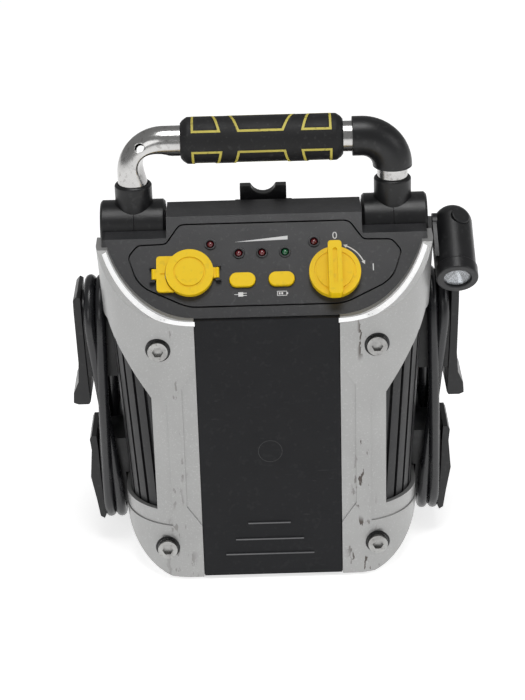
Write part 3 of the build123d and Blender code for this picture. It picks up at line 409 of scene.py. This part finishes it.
leads = {
    "radius": 0.004,
    "exit": (0.123, 0.049, 0.150),
    "comeIn": [(0.123, 0.049, 0.150), (0.122, 0.0485, 0.134), (0.1185, 0.0445, 0.118),
               (0.1145, 0.0375, 0.103), (0.1128, 0.031, 0.087), (0.114, 0.0273, 0.070)],
    "goOut": [(0.1215, 0.0265, 0.160), (0.1198, 0.027, 0.138), (0.1188, 0.028, 0.118), (0.119, 0.030, 0.098),
              (0.1196, 0.034, 0.080), (0.121, 0.0395, 0.061), (0.1215, 0.045, 0.042), (0.1195, 0.054, 0.025),
              (0.1155, 0.067, 0.0145), (0.110, 0.080, 0.0135), (0.104, 0.089, 0.025), (0.0998, 0.093, 0.042),
              (0.097, 0.093, 0.0602)],
    "bend": 0.027,
    "bendSteps": 6,
    "lowZ": 0.045,
    "highZ": 0.182,
    "lowX": (0.1150, 0.1233),
    "highX": (0.1292, 0.1212),
    "crossing": (-0.0262, -0.0345),
    "sides": [(0.066, 0.15), (0.090, 0.33), (0.114, 0.50), (0.138, 0.67), (0.162, 0.85)],
}


def leadRoute(look):
    route = [Vector(point) for point in look["comeIn"]]
    bend, bendSteps = look["bend"], look["bendSteps"]
    for turn in range(2):
        low, high = look["lowX"][turn], look["highX"][turn]
        for step in range(bendSteps + 1):
            around = math.pi * step / bendSteps
            route.append(Vector((low, bend * math.cos(around), look["lowZ"] - bend * math.sin(around))))
        for z, share in look["sides"]:
            pull = 1 - abs(share - 0.5) / 0.5
            route.append(Vector((low + (high - low) * share,
                                 -bend + (look["crossing"][turn] + bend) * pull, z)))
        for step in range(bendSteps + 1):
            around = math.pi * (1 - step / bendSteps)
            route.append(Vector((high, bend * math.cos(around), look["highZ"] + bend * math.sin(around))))
        if turn == 0:
            for z, share in reversed(look["sides"]):
                route.append(Vector((look["lowX"][1] + (high - look["lowX"][1]) * share, bend, z)))
    return route + [Vector(point) for point in look["goOut"]]


def makeLead(name, side, look):
    route = leadRoute(look)
    data = bpy.data.curves.new(name, "CURVE")
    data.dimensions = "3D"
    data.bevel_depth = look["radius"]
    data.bevel_resolution = 5
    data.use_fill_caps = True
    line = data.splines.new("NURBS")
    line.points.add(len(route) - 1)
    for point, place in zip(line.points, route):
        point.co = (place.x * side, place.y, place.z, 1)
    line.order_u = 3
    line.use_endpoint_u = True
    line.resolution_u = 8
    piece = bpy.data.objects.new(name, data)
    bpy.context.collection.objects.link(piece)
    data.materials.append(finishes["cableJacket"])
    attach(piece, "case")
    return piece


for sideName, side in (("right", 1), ("left", -1)):
    leadPiece = makeLead(sideName + "Lead", side, leads)
    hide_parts(sideName + "_lead_coil", sideName + "_lead_ends")
print("leads wound")

# case and armour

for sideName in ("right", "left"):
    softened(sideName + "_armour", sideName + "Armour", "case", "silverPaint", "silver_plastic", 0.0008,
             angle=30)
softened("front_case", "caseFront", "case", "mouldedBlack", "black_plastic", 0.0008)
softened("rear_case", "caseRear", "case", "mouldedBlack", "black_plastic", 0.0012)
softened("control_hood", "hood", "case", "hoodBlack", "black_plastic", 0.0014, 3)
softened("front_panel", "middlePanel", "case", "panelBlack", "black_plastic", 0.0006)

# a moulding mark on the middle panel, light grey strips on its three ribs as painted highlights, and dark
# rings round the bolt heads as painted shadow in the counterbore gap
frontMarks = {
    "gateAt": (0.0, -0.08068, 0.106),
    "gateRadius": 0.0088,
    "gateWidth": 0.0004,
    "gateRise": 0.00006,
    "boltX": 0.0775,
    "boltHeights": (0.028, 0.189),
    "shadowRingY": -0.07968,
    "shadowRingInner": 0.00725,
    "shadowRingOuter": 0.00895,
    "shadowRingRise": 0.0001,
    "ribFace": -0.0815,
    "ribs": [(0.031, 0.047), (0.050, 0.0335), (0.065, 0.021)],
    "ribShift": -0.002,
    "ribHalf": 0.0005,
    "ribRise": 0.00015,
}


def makeFrontMarks(look):
    gate = bmesh.new()
    addRing(gate, facingFront(*look["gateAt"]), look["gateRadius"] - look["gateWidth"], look["gateRadius"],
            look["gateRise"])
    bmesh.ops.recalc_face_normals(gate, faces=gate.faces)
    shown("gateMark", fromBmesh("gateMark", gate), "case", "hoodBlack", "black_plastic")
    # dark rings on the recess floor round each bolt head: painted shadow in the gap between head and
    # counterbore
    shadowRings = bmesh.new()
    for side in (-1, 1):
        for height in look["boltHeights"]:
            addRing(shadowRings, facingFront(side * look["boltX"], look["shadowRingY"], height), look["shadowRingInner"],
                    look["shadowRingOuter"], look["shadowRingRise"])
    bmesh.ops.recalc_face_normals(shadowRings, faces=shadowRings.faces)
    shown("boltShadowRings", fromBmesh("boltShadowRings", shadowRings), "case", "jointBlack", "black_plastic")
    # light grey strips on the three ribs: painted highlight where the ribs catch the light
    ribs = bmesh.new()
    for length, height in look["ribs"]:
        size = Matrix.Diagonal((length, 2 * look["ribRise"], 2 * look["ribHalf"], 1))
        bmesh.ops.create_cube(ribs, size=1,
                              matrix=Matrix.Translation((look["ribShift"], look["ribFace"], height)) @ size)
    shown("ribHighlights", fromBmesh("ribHighlights", ribs), "case", "ribHighlightGrey", "black_plastic")


makeFrontMarks(frontMarks)

# Bright lips along the armour's upper edge, on the case's outer form: near-white with a faint glow, a
# painted highlight where the upward chamfer catches the light
rimHighlights = {
    "centre": (0.050, 0.2787),
    "radius": 0.0680,
    "from": -89.5,
    "to": -24,
    "section": [(0.0001, -0.0006), (0.0004, 0.00045), (0.0033, 0.00045), (0.0037, -0.0004)],
    "lift": (0, -0.8, 0.6),
    "steps": 30,
    "faceY": -0.0815,
    "slopeFoot": 0.21273,
    "halfWidth": (0.1060, 0.05636),  # at the floor, and what it gains per metre of height
    "corner": 0.0465,
}


def outerForm(x, z, look):
    wide = look["halfWidth"][0] + look["halfWidth"][1] * z
    past = max(0.0, abs(x) - (wide - look["corner"]))
    plan = look["faceY"] + look["corner"] - math.sqrt(max(0.0, look["corner"] ** 2 - past ** 2))
    slope = look["faceY"] + (z - look["slopeFoot"]) * math.tan(math.radians(panel["angle"]))
    return max(plan, slope)


def makeRimHighlight(sideName, side, look):
    bm = bmesh.new()
    sections = []
    lift = Vector(look["lift"])
    for step in range(look["steps"] + 1):
        at = math.radians(look["from"] + (look["to"] - look["from"]) * step / look["steps"])
        loop = []
        for out, rise in look["section"]:
            x = look["centre"][0] + (look["radius"] + out) * math.cos(at)
            z = look["centre"][1] + (look["radius"] + out) * math.sin(at)
            point = Vector((x, outerForm(x, z, look), z)) + lift * rise
            loop.append(bm.verts.new((point.x * side, point.y, point.z)))
        sections.append(loop)
    for one, two in zip(sections, sections[1:]):
        for i in range(len(one)):
            after = (i + 1) % len(one)
            bm.faces.new((one[i], one[after], two[after], two[i]))
    bm.faces.new(sections[0])
    bm.faces.new(sections[-1])
    bmesh.ops.recalc_face_normals(bm, faces=bm.faces)
    name = sideName + "ArmourHighlightLip"
    shown(name, fromBmesh(name, bm, 40), "case", "rimHighlightSilver", "silver_plastic")


for sideName, side in (("right", 1), ("left", -1)):
    makeRimHighlight(sideName, side, rimHighlights)

softened("base_plate", "basePlate", "case", "mouldedBlack", "black_plastic", 0.0010)
softened("rear_cradle", "cradle", "case", "jointBlack", "black_plastic", 0.0007)
softened("armour_bolts", "armourBolts", "case", "boltZinc", "zinc_bolt", 0.0005)
softened("case_screws", "caseScrews", "case", "plainSteel", "steel", 0.0005)
print("case dressed")

# control panel

softened("control_fascia", "fascia", "case", "hoodBlack", "black_plastic", 0.0009, 3)
softened("power_knob", "powerKnob", "knob", "yellowMoulding", "yellow_plastic", 0.0011, 3)
softened("outlet_cap", "outletCap", "outlet_lid", "yellowMoulding", "yellow_plastic", 0.0010, 3)
softened("port_flap", "portFlap", "port_lid", "yellowMoulding", "yellow_plastic", 0.0007, 3)
softened("port_button", "portButton", "port_key", "yellowMoulding", "yellow_plastic", 0.0010, 3)
softened("status_button", "statusButton", "status_key", "yellowMoulding", "yellow_plastic", 0.0010, 3)
softened("cover_hinges", "coverHinges", "case", "jointBlack", "black_plastic", 0.0003)
softened("charge_cover", "chargeCover", "charge_lid", "mouldedBlack", "black_plastic", 0.0006)

bezels = {
    "places": [(-0.0185, 0.0478), (-0.002, 0.0478), (0.0144, 0.0478), (-0.0386, 0.055), (0.0351, 0.055)],
    "inner": 0.0027,
    "outer": 0.0043,
    "rise": 0.0009,
    "sink": 0.00003,
}


def makeBezels(look):
    bm = bmesh.new()
    for x, s in look["places"]:
        addRing(bm, onPanel(x, s, look["sink"]), look["inner"], look["outer"], look["rise"])
    bmesh.ops.recalc_face_normals(bm, faces=bm.faces)
    mesh = fromBmesh("indicatorBezels", bm, 50)
    return shown("indicatorBezels", mesh, "case", "jointBlack", "black_plastic")


makeBezels(bezels)

marks = {
    "lift": 0.00006,
    "wedge": [(-0.0215, 0.0562), (0.0165, 0.0572), (0.0165, 0.0600)],
    "digits": [("0", 0.0500, 0.0590, 0.0075), ("1", 0.0765, 0.0345, 0.0075)],
    "arrowCentre": (0.0492, 0.0305),
    "arrowRadius": 0.0223,
    "arrowFrom": 24,
    "arrowTo": 66,
    "arrowHalf": 0.00045,
    "arrowSteps": 12,
    "headLength": 0.0028,
    "headHalf": 0.0014,
    # a battery sign under one button and a plug sign under the other, as boxes: left, low, right, high
    "batterySign": [
        (0.0079, 0.0152, 0.0149, 0.0157), (0.0079, 0.0183, 0.0149, 0.0188), (0.0079, 0.0152, 0.0084, 0.0188),
        (0.0144, 0.0152, 0.0149, 0.0188), (0.0149, 0.0163, 0.0157, 0.0177), (0.0091, 0.0162, 0.0103, 0.0178),
        (0.0109, 0.0162, 0.0121, 0.0178),
    ],
    "plugSign": [
        (-0.0195, 0.0154, -0.0160, 0.0186), (-0.0160, 0.0159, -0.0135, 0.0164),
        (-0.0160, 0.0176, -0.0135, 0.0181), (-0.0222, 0.0168, -0.0195, 0.0172),
    ],
}


def flatBox(bm, box, matrix):
    left, low, right, high = box
    return flatOutline(bm, [(left, low), (right, low), (right, high), (left, high)], matrix)


def flatOutline(bm, corners, matrix):
    verts = [bm.verts.new((x, s, 0)) for x, s in corners]
    face = bm.faces.new(verts)
    bmesh.ops.transform(bm, matrix=matrix, verts=verts)
    return face


def makeMarks(look):
    bm = bmesh.new()
    base = onPanel(0, 0, look["lift"])
    flatOutline(bm, look["wedge"], base)
    cx, cs = look["arrowCentre"]
    steps, radius, half = look["arrowSteps"], look["arrowRadius"], look["arrowHalf"]
    arc = []
    for step in range(steps + 1):
        at = math.radians(look["arrowFrom"] + (look["arrowTo"] - look["arrowFrom"]) * step / steps)
        arc.append((math.cos(at), math.sin(at)))
    outer = [(cx + c * (radius + half), cs + s * (radius + half)) for c, s in arc]
    inner = [(cx + c * (radius - half), cs + s * (radius - half)) for c, s in arc]
    flatOutline(bm, outer + inner[::-1], base)
    for (c, s), way in ((arc[0], -1), (arc[-1], 1)):
        reach, wide = look["headLength"] * way, look["headHalf"]
        tip = (cx + c * radius - s * reach, cs + s * radius + c * reach)
        flatOutline(bm, [tip, (cx + c * (radius + wide), cs + s * (radius + wide)),
                         (cx + c * (radius - wide), cs + s * (radius - wide))], base)
    for box in look["batterySign"] + look["plugSign"]:
        flatBox(bm, box, base)
    bmesh.ops.recalc_face_normals(bm, faces=bm.faces)
    out = Vector(onPanel(0, 0).col[2][:3])
    for face in bm.faces:
        if face.normal.dot(out) < 0:
            face.normal_flip()
    piece = shown("panelMarks", fromBmesh("panelMarks", bm), "case", "markWhite", "black_plastic")
    for sign, x, s, size in look["digits"]:
        data = bpy.data.curves.new("digit", "FONT")
        data.body = sign
        data.size = size
        data.align_x, data.align_y = "CENTER", "CENTER"
        text = bpy.data.objects.new("digit", data)
        bpy.context.collection.objects.link(text)
        bpy.context.view_layer.update()
        mesh = bpy.data.meshes.new_from_object(text)
        bpy.data.objects.remove(text)
        mesh.transform(onPanel(x, s, look["lift"]))
        shown("panelDigit" + sign, mesh, "case", "markWhite", "black_plastic")
    return piece


makeMarks(marks)
print("control panel dressed")

# handle

tube = {
    "legX": 0.0935,
    "footZ": 0.259,
    "barZ": 0.316,
    "radius": 0.011,
    "bend": 0.023,
    "wall": 0.0016,
    "legSteps": 16,
    "bendSteps": 22,
    "barSteps": 70,
    # the bare elbow is squashed on its inner side, with a crease above: centre, reach, depth, way
    "dents": [
        ((-0.0785, -0.003, 0.2975), 0.0165, 0.0078, (-1, 0.15, 1)),
        ((-0.0715, -0.006, 0.3035), 0.0065, 0.0020, (-0.3, 0.4, 1)),
    ],
    "holeAt": (-0.0870, 0.3105),
    "holeRadius": 0.0033,
    "holeDip": 24.2,
}


def sweptBar(look, rings=64):
    bm = bmesh.new()
    made = bmesh.ops.create_circle(bm, cap_ends=False, segments=rings, radius=look["radius"],
                                   matrix=Matrix.Translation((-look["legX"], 0, look["footZ"])))
    loop = list({edge for v in made["verts"] for edge in v.link_edges})

    def pushed(edges, way, steps):
        for step in range(steps):
            grown = bmesh.ops.extrude_edge_only(bm, edges=edges)["geom"]
            verts = [item for item in grown if isinstance(item, bmesh.types.BMVert)]
            edges = [item for item in grown if isinstance(item, bmesh.types.BMEdge)]
            bmesh.ops.translate(bm, vec=Vector(way) / steps, verts=verts)
        return edges

    def turned(edges, centre):
        verts = list({v for edge in edges for v in edge.verts})
        spun = bmesh.ops.spin(bm, geom=verts + edges, cent=centre, axis=(0, 1, 0), dvec=(0, 0, 0),
                              angle=math.pi / 2, steps=look["bendSteps"], use_merge=False,
                              use_duplicate=False)
        return [item for item in spun["geom_last"] if isinstance(item, bmesh.types.BMEdge)]

    rise = look["barZ"] - look["bend"] - look["footZ"]
    side = look["legX"] - look["bend"]
    loop = pushed(loop, (0, 0, rise), look["legSteps"])
    loop = turned(loop, (-side, 0, look["barZ"] - look["bend"]))
    loop = pushed(loop, (2 * side, 0, 0), look["barSteps"])
    loop = turned(loop, (side, 0, look["barZ"] - look["bend"]))
    pushed(loop, (0, 0, -rise), look["legSteps"])
    bmesh.ops.remove_doubles(bm, verts=bm.verts, dist=cleaning["merge"])
    bmesh.ops.recalc_face_normals(bm, faces=bm.faces)
    return bm


def dented(bm, look):
    for centre, reach, depth, way in look["dents"]:
        push = Vector(way).normalized() * depth
        for v in bm.verts:
            gap = (v.co - Vector(centre)).length / reach
            if gap < 1:
                v.co += push * (1 - gap * gap) ** 2


def makeTube(look):
    bm = sweptBar(look)
    dented(bm, look)
    mesh = fromBmesh("handleTube", bm, 60)
    piece = shown("handleTube", mesh, "handle", "tubeChrome", "chrome_tube", "handle_tube")
    wall = piece.modifiers.new("wall", "SOLIDIFY")
    wall.thickness = look["wall"]
    wall.offset = -1
    cutter = bmesh.new()
    x, z = look["holeAt"]
    dip = Matrix.Rotation(math.radians(90 - look["holeDip"]), 4, "X")
    bmesh.ops.create_cone(cutter, cap_ends=True, segments=40, radius1=look["holeRadius"],
                          radius2=look["holeRadius"], depth=0.06, matrix=Matrix.Translation((x, 0, z)) @ dip)
    drill = bpy.data.objects.new("drill", fromBmesh("drill", cutter))
    bpy.context.collection.objects.link(drill)
    hole = piece.modifiers.new("hole", "BOOLEAN")
    hole.operation = "DIFFERENCE"
    hole.solver = "EXACT"
    hole.object = drill
    bpy.context.view_layer.update()
    seen = piece.evaluated_get(bpy.context.evaluated_depsgraph_get())
    finished = bpy.data.meshes.new_from_object(seen)
    piece.modifiers.clear()
    piece.data = finished
    bpy.data.objects.remove(drill)
    return piece


makeTube(tube)
softened("elbow_cover", "elbowCover", "handle", "jointBlack", "black_plastic", 0.0012, 3)
softened("handle_collars", "handleCollars", "handle", "jointBlack", "black_plastic", 0.0006, 2)
softened("handle_hubs", "handleHubs", "handle", "jointBlack", "black_plastic", 0.0006, 2)
softened("handle_axles", "handleAxles", "case", "plainSteel", "steel", 0.0004)

grip = {
    "half": 0.058,
    "radius": 0.0168,
    "core": 0.0112,
    # from the end inwards: how far along, and how far out from the full radius
    "endCurve": [(0.0, -0.0042), (0.0016, -0.0022), (0.0045, -0.0002), (0.0055, 0.0)],
    "rings": 100,
    "round": 180,
    "barZ": 0.316,
    "recess": 0.0006,
    "fieldMargin": 0.0021,
    "shareMargin": 0.09,
    "endMargin": 0.0004,
    "lineWidth": 0.0017,
    "lineRise": 0.00012,
    "lineRoot": 0.0009,
    "lineSteps": 14,
    # fields round the bar: from and to in degrees, where 0 faces the front and 90 is up, and their widths
    "zones": [(37, 117, "top"), (-10, -90, "under"), (157, 237, "under")],
    # each field's two ends in x, first at the zone's start, then at its end
    "fields": {
        "top": [((-0.0500, -0.0290), (-0.0500, -0.0350)), ((-0.0170, 0.0156), (-0.0250, 0.0250)),
                ((0.0280, 0.0497), (0.0340, 0.0497))],
        "under": [((-0.0500, -0.0280), (-0.0500, -0.0320)), ((-0.0170, 0.0170), (-0.0220, 0.0220)),
                  ((0.0280, 0.0500), (0.0320, 0.0500))],
    },
}


def aroundBar(x, degrees, radius, look):
    at = math.radians(degrees)
    return Vector((x, -radius * math.cos(at), look["barZ"] + radius * math.sin(at)))


def makeGrip(look):
    bm = bmesh.new()
    h, r, count = look["half"], look["radius"], look["rings"]
    end = [(-h, look["core"])] + [(-h + along, r + out) for along, out in look["endCurve"]]
    first = end[-1][0]
    middle = [(first - 2 * first * i / count, r) for i in range(1, count)]
    profile = end + middle + [(-x, radius) for x, radius in end[::-1]]
    verts = [bm.verts.new((x, 0, radius)) for x, radius in profile]
    edges = [bm.edges.new(pair) for pair in zip(verts, verts[1:])]
    bmesh.ops.spin(bm, geom=verts + edges, cent=(0, 0, 0), axis=(1, 0, 0), dvec=(0, 0, 0), angle=math.tau,
                   steps=look["round"], use_merge=True, use_duplicate=False)
    bmesh.ops.recalc_face_normals(bm, faces=bm.faces)
    # the outlined fields sink a little below the lands round them
    margin, inside = look["shareMargin"], look["fieldMargin"]
    for v in bm.verts:
        around = math.degrees(math.atan2(v.co.z, -v.co.y))
        for start, end, widths in look["zones"]:
            turn = (around - min(start, end)) % 360
            share = turn / abs(end - start) if start < end else 1 - turn / abs(end - start)
            if not margin < share < 1 - margin or v.co.yz.length < r - look["endMargin"]:
                continue
            for (low0, high0), (low1, high1) in look["fields"][widths]:
                low, high = low0 + (low1 - low0) * share, high0 + (high1 - high0) * share
                if low + inside < v.co.x < high - inside:
                    v.co.yz = v.co.yz.normalized() * (r - look["recess"])
                    break
    bmesh.ops.translate(bm, vec=(0, 0, look["barZ"]), verts=bm.verts)
    piece = shown("handleGrip", fromBmesh("handleGrip", bm, 40), "handle", "gripRubber", "grip_rubber",
                  "handle_grip")
    return piece


def inset(corners, width):
    inner = []
    for before, corner, after in zip(corners[-1:] + corners[:-1], corners, corners[1:] + corners[:1]):
        along, onward = (corner - before).normalized(), (after - corner).normalized()
        turn = 1 if along.cross(onward) > 0 else -1
        first, second = Vector((-along.y, along.x)) * turn, Vector((-onward.y, onward.x)) * turn
        inner.append(corner + (first + second) * width / (1 + first.dot(second)))
    return inner


def makeInlays(look):
    bm = bmesh.new()
    radius, steps = look["radius"], look["lineSteps"]
    for start, end, widths in look["zones"]:
        for (low0, high0), (low1, high1) in look["fields"][widths]:
            corners = [Vector((x, math.radians(degrees) * radius))
                       for x, degrees in ((low0, start), (high0, start), (high1, end), (low1, end))]
            loops = []
            for outline, height in ((corners, -look["lineRoot"]), (corners, look["lineRise"]),
                                    (inset(corners, look["lineWidth"]), look["lineRise"]),
                                    (inset(corners, look["lineWidth"]), -look["lineRoot"])):
                loop = []
                for one, two in zip(outline, outline[1:] + outline[:1]):
                    for step in range(steps):
                        at = one.lerp(two, step / steps)
                        loop.append(bm.verts.new(aroundBar(at.x, math.degrees(at.y / radius),
                                                           radius + height, look)))
                loops.append(loop)
            for low, high in zip(loops, loops[1:] + loops[:1]):
                for i in range(len(low)):
                    after = (i + 1) % len(low)
                    bm.faces.new((low[i], low[after], high[after], high[i]))
    bmesh.ops.recalc_face_normals(bm, faces=bm.faces)
    return shown("gripInlays", fromBmesh("gripInlays", bm, 30), "handle", "inlayYellow", "grip_rubber")


makeGrip(grip)
makeInlays(grip)
print("handle dressed")

# work light

softened("lamp_body", "lampBody", "lamp", "jointBlack", "black_plastic", 0.0008, 3)
softened("lamp_bezel", "lampBezel", "lamp", "jointBlack", "black_plastic", 0.0012, 3)
softened("lamp_button", "lampButton", "lamp_key", "mouldedBlack", "black_plastic", 0.0008, 3)
softened("lamp_bracket", "lampBracket", "case", "mouldedBlack", "black_plastic", 0.0007)
softened("lamp_screw", "lampScrew", "case", "plainSteel", "steel", 0.0004)
print("work light dressed")

# cleats, clamps and small parts

for sideName in ("right", "left"):
    for level, width in (("upper", 0.0018), ("lower", 0.0016)):
        softened(sideName + "_" + level + "_cleat", sideName + level.capitalize() + "Cleat", "case",
                 "jointBlack", "black_plastic", width, 3)
    lever, slotName = ("clampRed", "clamp_red") if sideName == "right" else ("jointBlack", "clamp_black")
    softened(sideName + "_clamp_lever", sideName + "ClampLever", "case", lever, slotName, 0.0012, 3)
    softened(sideName + "_clamp_jaw", sideName + "ClampJaw", sideName + "_jaw", lever, slotName, 0.0012, 3)
softened("lead_glands", "leadGlands", "case", "mouldedBlack", "black_plastic", 0.0010, 3)
softened("clamp_posts", "clampPosts", "case", "mouldedBlack", "black_plastic", 0.0007)
softened("clamp_pins", "clampPins", "case", "plainSteel", "steel", 0.0004)

for node, finish in {
    "clamp_springs": "plainSteel", "red_indicators": "redLens", "green_indicator": "greenLens",
    "lamp_lens": "lampGlass", "lamp_reflector": "lampMirror", "outlet_socket": "plainSteel",
    "usb_port": "plainSteel", "battery": "batteryCase", "battery_terminals": "contactBrass",
    "battery_tray": "plainSteel", "power_links": "linkRed", "power_switch": "mouldedBlack",
    "main_board": "circuitBoard", "panel_board": "circuitBoard", "alarm_buzzer": "mouldedBlack",
    "charge_jack": "contactBrass",
}.items():
    cadNodes[node].data.materials.clear()
    cadNodes[node].data.materials.append(finishes[finish])
print("small parts dressed")

# floor and light

studio = {"floor": (0.86, 0.86, 0.86), "glow": 0.66, "world": 0.26, "backdrop": 1.0}


def makeStudio(look):
    bm = bmesh.new()
    bmesh.ops.create_grid(bm, x_segments=1, y_segments=1, size=6)
    floor = bpy.data.objects.new("floor", fromBmesh("floor", bm))
    bpy.context.collection.objects.link(floor)
    material = bpy.data.materials.new("floorPaper")
    material.use_nodes = True
    nodes, links = material.node_tree.nodes, material.node_tree.links
    shader = nodes["Principled BSDF"]
    shader.inputs["Base Color"].default_value = (*look["floor"], 1)
    shader.inputs["Roughness"].default_value = 0.9
    shader.inputs["Emission Color"].default_value = (1, 1, 1, 1)
    shader.inputs["Emission Strength"].default_value = look["glow"]
    floor.data.materials.append(material)
    world = bpy.data.worlds.new("studio")
    world.use_nodes = True
    nodes, links = world.node_tree.nodes, world.node_tree.links
    background = nodes["Background"]
    background.inputs["Color"].default_value = (1, 1, 1, 1)
    rays = nodes.new("ShaderNodeLightPath")
    either = nodes.new("ShaderNodeMath")
    either.operation = "MAXIMUM"
    links.new(rays.outputs["Is Camera Ray"], either.inputs[0])
    links.new(rays.outputs["Is Transmission Ray"], either.inputs[1])
    level = nodes.new("ShaderNodeMapRange")
    level.inputs["To Min"].default_value = look["world"]
    level.inputs["To Max"].default_value = look["backdrop"]
    links.new(either.outputs[0], level.inputs["Value"])
    links.new(level.outputs["Result"], background.inputs["Strength"])
    bpy.context.scene.world = world


lamps = {
    "ceiling": {"place": (0.1, -0.35, 2.1), "size": 1.1, "power": 17},
    "front": {"place": (-0.9, -2.0, 1.1), "size": 1.2, "power": 5.5},
    "side": {"place": (1.5, -0.6, 1.0), "size": 0.8, "power": 3},
}


def makeLamps(look):
    for name, lamp in look.items():
        data = bpy.data.lights.new(name, "AREA")
        data.shape = "DISK"
        data.size = lamp["size"]
        data.energy = lamp["power"]
        light = bpy.data.objects.new(name, data)
        bpy.context.collection.objects.link(light)
        aim = Vector((0, 0, 0.15)) - Vector(lamp["place"])
        turn = aim.to_track_quat("-Z", "Y").to_matrix().to_4x4()
        light.matrix_world = Matrix.Translation(lamp["place"]) @ turn


makeStudio(studio)
makeLamps(lamps)
bpy.context.scene.view_settings.view_transform = "Standard"
print("studio lit")
